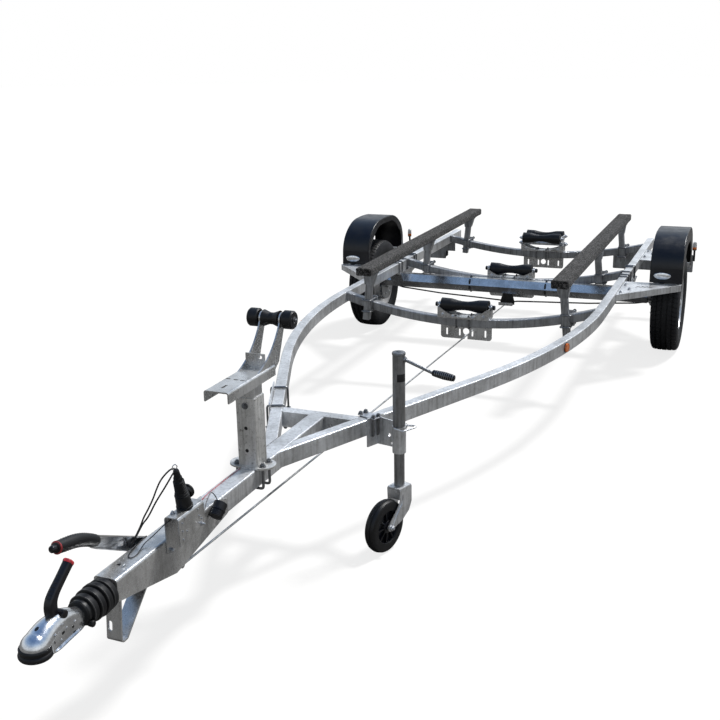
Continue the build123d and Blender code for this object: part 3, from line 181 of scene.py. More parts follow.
def galvanized(name, tone=1.0, spangle=1.0, dirt=0.5, warm=0.0, speck=0.0, gloss=0.3, metal=0.6):
    """Hot-dip zinc: flat crystals, cloudy oxide, thin runs down the steel and, by speck, pits."""
    s = Shader(name, (0.7, 0.72, 0.73), gloss + 0.1, metal)
    crystals, large = s.cells(105.0), s.cells(38.0)
    cloud = s.noise(6.0, 7.0, 0.66)
    runs = s.noise(5.0, 6.0, 0.68, stretch=(13, 13, 0.8))
    fine = s.noise(300.0, 3.0, 0.62)
    tints = (1 + warm, 1 + 0.4 * warm + 0.02, 1.05 - warm)
    low, mid, high = (tuple(tone * level * tint for tint in tints) for level in (0.56, 0.76, 0.92))
    color = s.ramp(cloud, (0.34, low), (0.5, mid), (0.68, high))
    flakes = s.mix(s.ramp(crystals, (0.0, 0.6), (0.5, 0.93), (1.0, 1.0)),
                   s.ramp(large, (0.0, 0.8), (0.6, 1.0)), 0.4)
    color = s.mix(color, flakes, 0.5 * spangle, "MULTIPLY")
    streaks = s.ramp(runs, (0.34, (0.34, 0.33, 0.31)), (0.5, 0.86), (0.6, 1.0))
    color = s.mix(color, streaks, dirt, "MULTIPLY")
    color = s.mix(color, s.ramp(fine, (0.34, 0.6), (0.56, 1.0)), 0.4, "MULTIPLY")
    if speck:
        pits = s.ramp(s.noise(95.0, 4.0, 0.7), (0.3, (0.2, 0.19, 0.17)), (0.44, 1.0))
        color = s.mix(color, pits, speck, "MULTIPLY")
    roughness = s.mix(s.ramp(crystals, (0.0, gloss - 0.06), (1.0, gloss + 0.14)),
                      s.ramp(cloud, (0.3, gloss - 0.04), (0.7, gloss + 0.2)), 0.5)
    return s.finished(color, roughness, s.mix(fine, s.noise(40.0, 3.0, 0.5), 0.5), 0.0006, 0.5)


def matt_black(name, level, rough, grain, depth, dust, blue, shine):
    """Moulded black plastic or rubber with a fine grain and a little pale dust."""
    s = Shader(name, (level, level, level), rough, Specular_IOR_Level=shine)
    tone = s.noise(14.0, 5.0, 0.6)
    pale = level + 0.05 * dust
    return s.finished(s.ramp(tone, (0.42, (level, level, level * blue)), (0.85, (pale, pale, pale * 1.05))),
                      s.ramp(tone, (0.3, rough - 0.08), (0.7, rough + 0.1)),
                      s.noise(grain, 3.0, 0.5), depth, 0.6)


def carpet_cloth(name):
    """Needle-felt carpet: charcoal fibre flecked with pale and dark tufts."""
    s = Shader(name, (0.05, 0.05, 0.052), 0.95, Sheen_Weight=0.08, Sheen_Roughness=0.6,
               Specular_IOR_Level=0.1)
    tuft = s.noise(84.0, 3.0, 0.95)
    fleck = s.noise(190.0, 3.0, 0.9)
    patch = s.ramp(s.noise(9.0, 4.0, 0.55), (0.3, 0.55), (0.7, 1.0))
    hair = s.noise(240.0, 3.0, 0.75, stretch=(1.0, 0.4, 1.0))
    color = s.ramp(s.mix(tuft, fleck, 0.45), (0.4, 0.004), (0.5, (0.036, 0.036, 0.038)),
                   (0.6, (0.24, 0.24, 0.245)))
    return s.finished(s.mix(color, patch, 0.6, "MULTIPLY"), None, s.mix(hair, tuft, 0.4), 0.004, 0.9)


def lens(name, color, rough=0.18):
    """Moulded lamp lens with fine ribs under a glossy skin."""
    s = Shader(name, color, rough, Coat_Weight=0.4)
    ribs = s.noise(160.0, 1.0, 0.3, stretch=(1, 1, 0.15))
    dark = tuple(c * 0.6 for c in color)
    return s.finished(s.ramp(ribs, (0.4, dark), (0.6, color)), None, ribs, 0.0006, 0.5)


def silver_paint(name):
    """Satin silver wheel enamel with brake dust."""
    s = Shader(name, (0.6, 0.61, 0.62), 0.34, 0.6)
    dust = s.noise(22.0, 5.0, 0.6)
    return s.finished(s.ramp(dust, (0.3, (0.40, 0.40, 0.41)), (0.65, (0.70, 0.71, 0.72))),
                      s.ramp(dust, (0.3, 0.5), (0.7, 0.3)))


def bright_zinc(name, tone, rough):
    """Electroplated fixings: bright zinc with a faint cloud of finger marks."""
    s = Shader(name, (tone, tone, tone), rough, 0.9)
    cloud = s.noise(60.0, 4.0, 0.6)
    return s.finished(s.ramp(cloud, (0.3, (tone * 0.62, tone * 0.64, tone * 0.66)),
                             (0.65, (tone, tone, tone * 1.02))),
                      s.ramp(cloud, (0.3, rough + 0.14), (0.7, rough)))


ZINC = galvanized("galvanized_frame")
# Zinc with real runs of dirt, its tone halved as painted shade.
ZINC_WEATHERED_AND_SHADED = galvanized("galvanized_weathered_and_shaded", tone=0.5, dirt=0.75, warm=-0.02)
ZINC_SPECK = galvanized("galvanized_speckled", tone=0.9, dirt=0.5, speck=0.85, warm=0.03)
ZINC_SIDE = galvanized("galvanized_housing", tone=0.74, spangle=0.5, dirt=0.3, warm=0.015, gloss=0.22,
                       metal=0.7)
CAST = galvanized("zinc_casting", tone=0.84, spangle=0.25, dirt=0.2, gloss=0.12, metal=0.93)
AXLE = galvanized("smooth_axle", tone=0.8, spangle=0.3, dirt=0.3, gloss=0.16, metal=0.88)
DULL = galvanized("dull_tube", tone=0.36, spangle=0.6, dirt=0.6)
PLATED = bright_zinc("plated_fixing", 0.62, 0.3)
# Zinc for U-bolts, post bolts and the jockey cap, darkened to 0.22 partly for weathering and partly as
# painted shade.
STIRRUP = bright_zinc("weathered_and_shaded_stirrup", 0.22, 0.36)
CHROME = bright_zinc("bare_badge", 0.92, 0.14)
PLASTIC, RUBBER, SLEEVE, DUST_AND_HIGHLIGHT, TYRE, CABLE, GREY_WIRE, LABEL = (matt_black(*row) for row in (
    # name, level, roughness, grain, depth, dust, blue, shine
    ("mudguard_plastic", 0.0035, 0.34, 380.0, 0.00012, 0.06, 1.9, 0.35),
    ("black_rubber", 0.004, 0.46, 300.0, 0.0003, 0.12, 1.2, 0.3),
    ("dusty_gaiter", 0.004, 0.5, 240.0, 0.0003, 0.25, 1.2, 0.22),
    # pale bead: dust and a painted highlight
    ("dusty_bead_and_highlight", 0.05, 0.5, 240.0, 0.0003, 0.9, 1.0, 0.4),
    ("tyre_rubber", 0.006, 0.6, 340.0, 0.0004, 0.18, 1.3, 0.3),
    ("cable_sheath", 0.006, 0.34, 400.0, 0.0001, 0.1, 1.1, 0.4),
    ("grey_sheath", 0.12, 0.4, 400.0, 0.0001, 0.4, 1.1, 0.3),
    ("blank_label", 0.02, 0.5, 300.0, 0.0001, 0.3, 1.1, 0.3),
))
CARPET = carpet_cloth("bunk_carpet")
RED_LENS = lens("red_lens", (0.55, 0.01, 0.012))
AMBER_LENS = lens("amber_lens", (0.85, 0.2, 0.02))
CLEAR_LENS = lens("clear_lens", (0.78, 0.82, 0.86))
RED_PLASTIC = lens("red_plastic", (0.52, 0.02, 0.03), 0.4)
SILVER = silver_paint("wheel_silver")


# ---- cords
def nurbs(name, points, diameter, mat):
    """Round cord on a smooth open spline whose control points are the given chassis points."""
    curve = bpy.data.curves.new(name, "CURVE")
    curve.dimensions = "3D"
    curve.bevel_depth = diameter / 2
    curve.bevel_resolution = 3
    curve.resolution_u = 10
    spline = curve.splines.new("NURBS")
    spline.points.add(len(points) - 1)
    flat = np.column_stack([parked(points), np.ones(len(points))])
    spline.points.foreach_set("co", flat.ravel())
    spline.order_u = 3
    spline.use_endpoint_u = True
    curve.use_fill_caps = True
    curve.materials.append(mat)
    obj = added(name, curve)
    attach(obj, "chassis")
    return obj


# breakaway cable: from the hook on the plug down to the handbrake lever and back up
BREAKAWAY = (
    (61, -4383, 742), (57, -4389, 744), (50, -4394, 740), (40, -4402, 729), (28, -4411, 712),
    (18, -4420, 686), (9, -4427, 658), (-4, -4437, 627), (-16, -4447, 602), (-23, -4452, 580),
    (-33, -4460, 556), (-42, -4467, 536), (-49, -4472, 522), (-49, -4480, 516), (-44, -4480, 520),
    (-38, -4471, 536), (-28, -4461, 560), (-17, -4450, 586), (-7, -4444, 598), (3, -4437, 617),
    (14, -4428, 643), (25, -4419, 664), (38, -4408, 688), (50, -4397, 712), (58, -4388, 730),
    (63, -4381, 738),
)
# thin wire: out of the plug bracket, round a loop on the housing and in beside the lever
THIN_WIRE = (
    (60, -4360, 596), (58, -4385, 594), (50, -4412, 590), (38, -4430, 578), (24, -4440, 562),
    (8, -4452, 545), (-6, -4470, 531), (2, -4500, 527.4), (10, -4530, 527.2), (4, -4552, 527.2),
    (-10, -4545, 527.2), (-20, -4515, 527.2), (-25, -4480, 527.4), (-30, -4450, 527.4),
    (-33, -4420, 527), (-40, -4405, 521), (-44, -4402, 512),
)
# red wire on top of the housing and the drawbar, from the bracket to the winch post
RED_WIRE = (
    (38, -4295, 527), (22, -4270, 526.6), (2, -4210, 526.6), (-12, -4130, 526.6), (-18, -4085, 526.4),
    (-21, -4055, 524.2), (-23, -4010, 523.6), (-24, -3960, 523.6), (-24, -3900, 523.6),
    (-23, -3862, 524),
)
# grey wire from under the bracket into the parking cap
GREY = (
    (84, -4288, 560), (80, -4268, 562), (62, -4230, 566), (44, -4180, 569), (34, -4150, 566),
    (31, -4132, 552), (34, -4124, 538), (42, -4128, 526), (50, -4138, 520),
)
CORDS = (
    # name, points, diameter, length, stiffness, lay, finish
    ("breakaway_cable", BREAKAWAY, 0.005, 0.55, "stiff", "hanging", CABLE),
    ("bracket_wire", THIN_WIRE, 0.003, 0.40, "medium", "loose", CABLE),
    ("red_wire", RED_WIRE, 0.0022, 0.44, "limp", "loose", RED_PLASTIC),
    ("cap_wire", GREY, 0.0035, 0.22, "medium", "hanging", GREY_WIRE),
)
for cord_name, route, width, length, stiffness, lay, finish in CORDS:
    nurbs(cord_name, route, width, finish)


# ---- surfaces in chassis millimetres
def unit(v):
    """v scaled to length 1 along its last axis."""
    v = np.asarray(v, float)
    return v / np.linalg.norm(v, axis=-1, keepdims=True)


def square_to(axis):
    """The unit axis and two unit vectors square to it and to each other."""
    axis = unit(axis)
    side = unit(np.cross(axis, np.eye(3)[np.argmin(np.abs(axis))]))
    return axis, side, np.cross(axis, side)


def angles(count, start=0.0):
    """count equal steps round a full turn."""
    return np.arange(count) * TURN / count + start


def circle(angle, across, up):
    """Unit vectors at the angles from across towards up."""
    return np.outer(np.cos(angle), across) + np.outer(np.sin(angle), up)


def closed(rings, loop=False):
    """Skin over rings of points (ring, around): quads between neighbours, a flat face on each end.

    With loop the last ring joins the first. The skin is turned inside out if its volume, the sum
    of the wedges from the middle to its faces, comes out negative.
    """
    rings = np.asarray(rings, float)
    n, m = rings.shape[:2]
    i, j = np.meshgrid(np.arange(n if loop else n - 1), np.arange(m), indexing="ij")
    i2, j2 = (i + 1) % n, (j + 1) % m
    quads = np.stack([i * m + j, i * m + j2, i2 * m + j2, i2 * m + j], -1).reshape(-1, 4)
    caps = np.zeros((0, m), int) if loop else np.stack([np.arange(m)[::-1], np.arange(m) + (n - 1) * m])
    points = rings.reshape(-1, 3)
    q = (points - points.mean(axis=0))[quads]
    volume = (q[:, 0] * np.cross(q[:, 1], q[:, 2])).sum() + (q[:, 0] * np.cross(q[:, 2], q[:, 3])).sum()
    for cap in caps:
        c = points[cap] - points.mean(axis=0)
        volume += (c[0] * np.cross(c[1:-1], c[2:])).sum()
    if volume < 0:
        quads, caps = quads[:, ::-1], caps[:, ::-1]
    corners = np.concatenate([quads.ravel(), caps.ravel()])
    sizes = np.concatenate([np.full(len(quads), 4), np.full(len(caps), m)])
    return points, corners, sizes


def mirrored(*half, middle=()):
    """Profile with the same half on both sides of zero and the middle points between them."""
    return [*((-x, r) for x, r in half), *middle, *half[::-1]]


def lathe(origin, axis, profile, sides=28, flutes=0, depth=0.0):
    """Profile of (distance along the axis, radius) turned round it.

    A fluted surface has that many waves round it, each depth times the radius high.
    """
    axis, side, up = square_to(axis)
    along, radius = np.asarray(profile, float).T
    turn = angles(sides)
    reach = radius[:, None] * (1 + depth * np.cos(flutes * turn))[None]
    spots = along[:, None, None] * axis + reach[..., None] * circle(turn, side, up)
    return closed(np.asarray(origin, float) + spots)


def bent(points, ease, steps=6):
    """Polyline whose inner corners are eased by parabolas that start `ease` before them."""
    p = np.asarray(points, float)
    way = unit(np.diff(p, axis=0))
    before, after = p[1:-1] - way[:-1] * ease, p[1:-1] + way[1:] * ease
    t = np.linspace(0, 1, steps)[None, :, None]
    curve = (1 - t) ** 2 * before[:, None] + 2 * t * (1 - t) * p[1:-1, None] + t ** 2 * after[:, None]
    return np.vstack([p[:1], curve.reshape(-1, 3), p[-1:]])


def flowing(points, count):
    """Catmull-Rom curve through the points, count samples on each run."""
    p = np.asarray(points, float)
    ends = np.vstack([2 * p[0] - p[1], p, 2 * p[-1] - p[-2]])
    t = (np.arange(count) / count)[None, :, None]
    a, b, c, d = ends[:-3, None], ends[1:-2, None], ends[2:-1, None], ends[3:, None]
    curve = 0.5 * (2 * b + (c - a) * t + (2 * a - 5 * b + 4 * c - d) * t ** 2
                   + (3 * b - a - 3 * c + d) * t ** 3)
    return np.vstack([curve.reshape(-1, p.shape[1]), p[-1:]])


def tube(path, radius, sides=10):
    """Circle of the given radius, or radii by (path point, side), carried square along a path."""
    path = np.asarray(path, float)
    along = unit(np.gradient(path, axis=0))
    side = unit(np.cross(along, np.eye(3)[np.argmin(np.abs(along).max(axis=0))]))
    up = np.cross(side, along)
    turn = angles(sides)
    around = np.cos(turn)[None, :, None] * side[:, None] + np.sin(turn)[None, :, None] * up[:, None]
    reach = np.broadcast_to(radius, (len(path), sides))
    return closed(path[:, None] + reach[..., None] * around)


def slab(middle, across, up, outline, thick, bevel=0.8):
    """Plate of the given outline in the across-up plane, its middle at half its thickness.

    The rings step in by the bevel at both faces, towards the outline's centre.
    """
    across, up = unit(across), unit(up)
    through = np.cross(across, up)
    shape = np.asarray(outline, float)
    centre = shape.mean(axis=0)
    inner = centre + (shape - centre) * (1 - bevel / np.abs(shape - centre).max())
    half = thick / 2
    levels = ((-half, inner), (-half + bevel, shape), (half - bevel, shape), (half, inner))
    return closed([np.asarray(middle, float) + s * through + flat[:, :1] * across + flat[:, 1:] * up
                            for s, flat in levels])


def rounded_outline(width, height, radius, steps=6):
    """Rectangle with quarter-circle corners, anticlockwise."""
    t = np.linspace(0, np.pi / 2, steps)
    arc = radius * np.stack([np.cos(t), np.sin(t)], -1)
    corner = np.array([width / 2 - radius, height / 2 - radius])
    quarter_turn = np.array([[0, -1], [1, 0]])
    parts = []
    for spot in (corner, corner * (-1, 1), -corner, corner * (1, -1)):
        parts.append(spot + arc)
        arc = arc @ quarter_turn.T
    return np.vstack(parts)


def upright(x, y, z, outline):
    """The outline stood across the trailer with its middle at x, y, z."""
    return np.array((x, y, z)) + outline[:, :1] * X + outline[:, 1:] * Z


def oval(half_width, half_height, count=40):
    """Ellipse of count points."""
    return np.stack([half_width * np.cos(angles(count)), half_height * np.sin(angles(count))], -1)


def nut(foot, axis, size, stud, washer=True):
    """Washer, chamfered hexagon `size` across its flats and a ridged thread end that stands stud."""
    axis = unit(axis)
    foot = np.asarray(foot, float)
    corner = size / 2 / np.cos(np.pi / 6)
    lift = 1.8 if washer else 0.0
    hexagon = ((-0.4, 0.86 * corner), (0, 0.93 * corner), (0.08 * size, corner), (0.46 * size, corner),
               (0.54 * size, 0.88 * corner))
    shells = [lathe(foot + lift * axis, axis, hexagon, 6)]
    if washer:
        shells.append(lathe(foot, axis, ((-0.4, size * 0.78), (0.2, size * 0.82), (1.5, size * 0.82),
                                         (1.8, size * 0.76)), 20))
    if stud:
        top = lift + 0.54 * size
        step = np.arange(0, stud, 0.9)
        ridge = 0.29 * size + 0.25 * (np.arange(len(step)) % 2)
        profile = [(top - 1, 0.3 * size), *zip(top + step, ridge), (top + stud + 0.4, 0.24 * size)]
        shells.append(lathe(foot, axis, profile, 12))
    return shells


def nuts(feet, axis, size, stud, washer=True):
    """A nut at each foot, all along one axis."""
    return [shell for foot in feet for shell in nut(foot, axis, size, stud, washer)]


def stirrup(middle, across, up, half, height, rod=4.5, grip=10.0, size=13, ease=11):
    """U-bolt: two legs `half` either side of middle, its bend at height, nuts grip above the ends."""
    middle, across, up = np.asarray(middle, float), unit(across), unit(up)
    legs = [middle - across * half, middle + across * half]
    path = bent([legs[0], legs[0] + up * height, legs[1] + up * height, legs[1]], ease)
    return [tube(path, rod)] + nuts([leg + up * grip for leg in legs], -up, size, 0)


def piece(name, shells, mat, body="chassis", slot=None, stands_for=(), sharp=34):
    """One object from closed skins, riding on a body; edges over `sharp` degrees stay sharp."""
    offsets = np.cumsum([0] + [len(s[0]) for s in shells[:-1]])
    points = np.concatenate([s[0] for s in shells])
    corners = np.concatenate([s[1] + start for s, start in zip(shells, offsets)])
    sizes = np.concatenate([s[2] for s in shells])
    mesh = bpy.data.meshes.new(name)
    mesh.vertices.add(len(points))
    mesh.vertices.foreach_set("co", parked(points).astype(np.float32).ravel())
    mesh.loops.add(len(corners))
    mesh.loops.foreach_set("vertex_index", corners.astype(np.int32))
    mesh.polygons.add(len(sizes))
    mesh.polygons.foreach_set("loop_start", (np.cumsum(sizes) - sizes).astype(np.int32))
    mesh.update(calc_edges=True)
    mesh.validate()
    mesh.shade_smooth()
    mesh.set_sharp_from_angle(angle=np.radians(sharp))
    mesh.materials.append(mat)
    obj = added(name, mesh)
    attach(obj, body)
    if stands_for:
        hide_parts(*stands_for)
    return obj


# ---- finishes of the CAD nodes
FINISH = {
    "coupling_head": CAST, "coupling_handle": PLASTIC, "keel_roller": RUBBER,
    "rim": SILVER, "mudguard_left": PLASTIC, "mudguard_right": PLASTIC, "soft_dock": RUBBER,
    "bow_roller": RUBBER, "trailer_plug": RUBBER, "socket_cap": RUBBER, "side_markers": AMBER_LENS,
    # crossmember, bunk posts, axle arms and lamp plates: zinc darkened as painted shade, with real runs of
    # dirt
    "coupling_housing": ZINC_SIDE, "crossmember": ZINC_WEATHERED_AND_SHADED, "bunk_posts": ZINC_WEATHERED_AND_SHADED,
    "winch_post": ZINC_SPECK, "winch_stand": ZINC_SIDE, "jockey_tube": DULL, "jockey_leg": DULL,
    "keel_bracket": ZINC_SIDE, "axle_arms": ZINC_WEATHERED_AND_SHADED, "brake_cables": CABLE, "lamp_plates": ZINC_WEATHERED_AND_SHADED,
    "brake_rod": ZINC_SIDE, "plug_bracket": ZINC_SIDE, "handbrake_lever": CAST, "axle_beam": AXLE,
    # the support leg takes the darker housing zinc as painted shade
    "support_leg": ZINC_SIDE,
}
for node_name, obj in nodes.items():
    finish = next((mat for start, mat in FINISH.items() if node_name.startswith(start)), ZINC)
    obj.data.materials.clear()
    obj.data.materials.append(finish)

# ---- coupling head
HEAD_SECTIONS = (
    # y, half width, top of the arch, its spring line, lower edge, flange
    (-4956, 38, 524, 486, 462, 0), (-4938, 37.6, 531, 492, 462, 0.5), (-4922, 36.4, 535.5, 498, 461.5, 4),
    (-4904, 34.2, 537.6, 503, 461, 6), (-4870, 30.6, 536, 505, 460.5, 6), (-4838, 27.8, 528.5, 500, 460, 6),
    (-4812, 25.6, 516, 490, 459.5, 5), (-4796, 24.6, 508.5, 484, 459, 1),
    (-4789.5, 24.4, 507.5, 482, 459, 0),
)
CHEEK = np.array(HEAD_SECTIONS)[[0, 2, 3, 4, 5, 7], :2].T     # y and half width
RIVETS = ((-4920, 505, 3.4), (-4871, 497, 4), (-4898, 478, 3.2), (-4834, 493, 4.6), (-4886, 516, 2.6))
# dark ovals on the cheeks: y, z, half length, half height; painted shade standing for holes
HOLES = ((-4889, 493, 7, 4.4), (-4845, 484, 4, 4), (-4927, 488, 2.4, 5), (-4842, 468, 6, 2))


def head_shell(wall=3.0, step=1.3):
    """Pressed cover, hollow below: at the nose a sphere over a cylinder, behind it an arch on cheeks.

    The nose's stations follow the cosine of an angle, so its half width is their sine. Each ring
    runs up the outer cheek, over the half ellipse of the arch and down, then back along the same
    line moved in by the wall. The cheeks step out under the arch, and a flange turns out below.
    """
    theta = np.linspace(0.06, 1.45, 12)
    nose = np.stack([BALL_Y - CUP_R * np.cos(theta), CUP_R * np.sin(theta), CUP_Z + CUP_R * np.sin(theta),
                     CUP_Z + 0 * theta, CUP_MOUTH + 0 * theta, 0 * theta], -1)
    y, w, top, spring, low, flange = np.vstack([nose, flowing(HEAD_SECTIONS, 7)]).T
    behind = np.clip((y - BALL_Y) / 22, 0, 1)
    t = np.linspace(np.pi, 0, 25)
    arch_x = (w - step * behind)[:, None] * np.cos(t)
    arch_z = spring[:, None] + (top - spring)[:, None] * np.sin(t)
    ledge = spring - 1.5 * behind - 0.5
    left_x = np.stack([-w - flange, -w - flange, -w, -w], -1)
    side_z = np.stack([low, low + 2.6, low + 5.5 - 2.5 * (flange < 1), ledge], -1)
    outer_x = np.concatenate([left_x, arch_x, -left_x[:, ::-1]], axis=1)
    outer_z = np.concatenate([side_z, arch_z, side_z[:, ::-1]], axis=1)
    half = w[:, None]
    thick = np.minimum(wall, 0.4 * half)
    inner_x = np.sign(outer_x) * np.clip(np.abs(outer_x), 0, half - thick) * (1 - 0.5 * thick / half)
    inner_z = np.where(outer_z > spring[:, None], outer_z - thick, outer_z)
    x = np.concatenate([outer_x, inner_x[:, ::-1]], axis=1)
    z = np.concatenate([outer_z, inner_z[:, ::-1]], axis=1)
    return closed(np.stack([x, y[:, None] + 0 * x, z], -1))


dome = np.linspace(1.55, 0, 12)
ball_cup = [*zip(BALL_Z + BALL_R * np.sin(dome), BALL_R * np.cos(dome)),
            (CUP_MOUTH + 0.3, BALL_R), (CUP_MOUTH + 0.3, CUP_WALL_R),
            *zip(CUP_Z + CUP_WALL_R * np.sin(dome[::-1]), CUP_WALL_R * np.cos(dome[::-1]))]
shaft = lathe((0, -4800, SHAFT_Z), Y, ((0, 18), (0.5, 18.5), (429, 18.5), (430, 17.5)), 36)
collar = lathe((0, -4812, SHAFT_Z), Y, ((0, 16), (1, 22), (21, 24), (22, 18)), 36)
piece("head_shell", [head_shell(), lathe((0, BALL_Y, 0), Z, ball_cup, 48), shaft, collar], CAST,
      stands_for=("coupling_head",), sharp=40)
rivets, holes = [], []
for side in BOTH:
    for y, z, r in RIVETS:
        foot = (side * (np.interp(y, *CHEEK) - 0.6), y, z)
        rivets.append(lathe(foot, side * X, ((0, r), (1.8, r), (2.6, 0.7 * r), (2.8, 1)), 18))
    for y, z, long, tall in HOLES:
        holes.append(slab((side * np.interp(y, *CHEEK), y, z), Y * side, Z, oval(long, tall, 20), 0.9, 0.2))
# dark oval on the nose: painted shade standing for a hole
holes.append(slab((0, -4944, 528.9), X, (0, 18, 6.5), oval(4.6, 7, 24), 1.0, 0.3))
piece("coupling_fixings", rivets, PLATED)
piece("coupling_hole_shade", holes, CABLE)

# ---- gaiter
LANDS = (
    # start, crest radius, valley radius
    (-4772.5, 43.4, 35.5), (-4746, 46.8, 38), (-4719, 48.8, 40), (-4692, 47, 41),
)


def gaiter():
    """Folds of the gaiter: a collar, then flat-topped lands.

    Each land rises from its valley in a quarter of a sine and falls behind in another.
    """
    profile = [(-4792, 19.2), (-4790, 33.6), (-4787.5, 35.4), (-4774.5, 35.4)]
    rise = np.sin(np.linspace(0.05, np.pi / 2, 6))
    for start, high, low in LANDS:
        profile += list(zip(start + np.linspace(0.6, 4.6, 6), low + (high - low) * rise))
        profile += [(start + 5.2, high), (start + 14, high + 0.3), (start + 20, high - 0.8)]
        profile += list(zip(start + 20.6 + np.linspace(0, 3.4, 6), low + (high - 1 - low) * rise[::-1]))
        profile += [(start + 25.6, low - 0.6)]
    profile += [(-4666.2, 41.5), (-4665.4, 19.2)]
    return lathe((0, 0, SHAFT_Z), Y, profile, 64)


collar_bolts = [lathe((side * 27, -4780, 458), side * X, ((0, 8.5), (9, 9.2), (14, 9.2), (16, 7.5)), 20, 10,
                      0.05) for side in BOTH]
piece("bellows_folds", [gaiter(), *collar_bolts], SLEEVE, stands_for=("bellows",), sharp=50)
band = lathe((0, -4781.5, SHAFT_Z), Y, mirrored((3.6, 35.3), (3.2, 36.6)), 56)
piece("bellows_band", [band], CABLE)
# pale beads on the front edge of each land's crest: dust, and a painted highlight along that edge
beads = []
for start, high, low in LANDS:
    bead = ((-1.1, high - 3), (-0.9, high - 0.3), (0, high + 0.5), (0.9, high + 0.5), (1.2, high - 0.5))
    beads.append(lathe((0, start + 3.6, SHAFT_Z), Y, bead, 64))
piece("bellows_beads", beads, DUST_AND_HIGHLIGHT)

# ---- coupling handle
HANDLE = (
    # y, z, depth, width along its line, which bends back at the elbow
    (-4884, 521, 32, 20), (-4886, 536, 33, 24), (-4887, 554, 34, 26), (-4883, 572, 31, 26),
    (-4870, 589, 27, 25), (-4848, 607, 25, 24.5), (-4825, 625, 25, 24.5), (-4806, 640, 25.5, 25),
)
spine = flowing(HANDLE, 8)
spine_at = np.column_stack([np.zeros(len(spine)), spine[:, :2]])
spine_way = unit(np.gradient(spine_at, axis=0))
spine_lift = unit(np.cross(X, spine_way))


def handle_ring(k, scale=1.0, ahead=0.0):
    """Rounded rectangle across the handle's line at sample k, its corners a third of its width."""
    deep, wide = spine[k, 2:] * scale
    flat = rounded_outline(wide, deep, 0.34 * wide)
    return spine_at[k] + ahead * spine_way[k] + flat[:, :1] * X + flat[:, 1:] * spine_lift[k]


boss = lathe((0, -4864, 530), X, mirrored((26, 8), (25, 10.4), (22, 11.2)), 30)
arm = lathe((0, -4868, 524), X, mirrored((19, 9), (18, 11)), 24)
grip = closed([handle_ring(k) for k in range(len(spine))])
piece("handle_grip", [grip, boss, arm], PLASTIC, stands_for=("coupling_handle",), sharp=45)
red_end = [handle_ring(-1, scale, ahead)
           for ahead, scale in ((-0.4, 1.0), (0, 1.05), (4, 1.08), (7, 1.04), (9, 0.9), (9.6, 0.7))]
piece("handle_end", [closed(red_end)], RED_PLASTIC, sharp=45)
ribs = []
for k in range(26, 47, 3):
    top = spine_at[k] + spine_lift[k] * (spine[k, 2] / 2 - 0.2)
    out, sunk = X * (spine[k, 3] / 2 - 4), 1.6 * spine_lift[k]
    ribs.append(tube(flowing((top - out - sunk, top, top + out - sunk), 6), 1.3, 8))
piece("handle_ribs", ribs, SLEEVE, slot="black_plastic")

# ---- handbrake grip
GRIP_LINE = ((-49, -4628, 610), (-49, -4697, 647), (-49, -4786, 665))
GRIP_R, GRIP_STATIONS, GRIP_SIDES = 17.6, 110, 48
eased = bent(GRIP_LINE, 40, 30)
reach = np.concatenate([[0], np.cumsum(np.linalg.norm(np.diff(eased, axis=0), axis=1))])
station = np.linspace(0, 1, GRIP_STATIONS)
grip_path = np.stack([np.interp(station * reach[-1], reach, axis) for axis in eased.T], -1)
knurl = np.maximum(0, np.outer(np.cos(36 * np.pi * station), np.cos(12 * angles(GRIP_SIDES))))
held = (station > 0.1) & (station < 0.86)
swell = GRIP_R + 0.9 * np.sin(np.pi * station) - 1.2 * (station < 0.03)
sleeve = tube(grip_path, swell[:, None] + 1.1 * knurl * held[:, None], GRIP_SIDES)
piece("handbrake_sleeve", [sleeve], RUBBER, stands_for=("handbrake_grip",), sharp=60)
tail = unit(grip_path[-1] - grip_path[-4])
ring = lathe(grip_path[-1] - 2.2 * tail, tail,
             ((0, 17.2), (0.8, 18.4), (2.6, 18.4), (3.4, 17), (3.8, 12)), 40)
piece("handbrake_ring", [ring], RED_PLASTIC)
button = ((0, 14.5), (4, 14.5), (5, 10.5), (15, 10.5), (20, 9.5), (22.5, 6.5))
piece("handbrake_button", [lathe(grip_path[-1], tail, button)], PLASTIC)

# ---- plug, cap and bracket
PLUG_FOOT, PLUG_WAY = np.array((62, -4346, 604.0)), unit((0, -34, 134))
LID_SPOT, LID_WAY = PLUG_FOOT + (0, 11.478, 44.172), unit((0, 1.0551, 0.09315))
shells = []
for low in np.arange(46, 96, 7.0):
    r = np.interp(low, (44, 60, 96), (22.2, 17.4, 15.8))
    fold = ((low - 0.2, r - 0.6), (low + 0.6, r + 1.2), (low + 2.6, r + 1.1), (low + 3.4, r - 0.6))
    shells.append(lathe(PLUG_FOOT, PLUG_WAY, fold, 36))
shells += [
    lathe(PLUG_FOOT, PLUG_WAY, ((2, 23.4), (3, 25), (10, 25), (11, 23.4)), 48, 24, 0.02),
    lathe(PLUG_FOOT, PLUG_WAY, ((100, 10.5), (101, 13.2), (112, 12.6), (113, 9.6)), 36, 12, 0.05),
    lathe(LID_SPOT, LID_WAY, ((6, 20.4), (7, 21.8), (11.5, 21.8), (12.5, 20), (13, 8)), 40),
]
piece("plug_ribs", shells, RUBBER)
hook = bent(((58, -4390, 740), (58, -4390, 752), (64, -4384, 757), (68, -4380, 750), (66, -4382, 742)), 3, 5)
piece("plug_hook", [tube(hook, 1.6, 8)], PLATED)

CAP_SPOT, CAP_WAY = (62, -4161, 513), unit((0, -38, -29))
shells = [lathe(CAP_SPOT, CAP_WAY, ((-2, 21), (-1, 23.4), (3, 23.4), (4, 21)), 44, 22, 0.02)]
for low in (9, 14, 19):
    rib = ((low, 20.5), (low + 0.7, 21.9), (low + 2, 21.9), (low + 2.7, 20.5))
    shells.append(lathe(CAP_SPOT, CAP_WAY, rib, 44))
piece("cap_ribs", shells, PLASTIC)

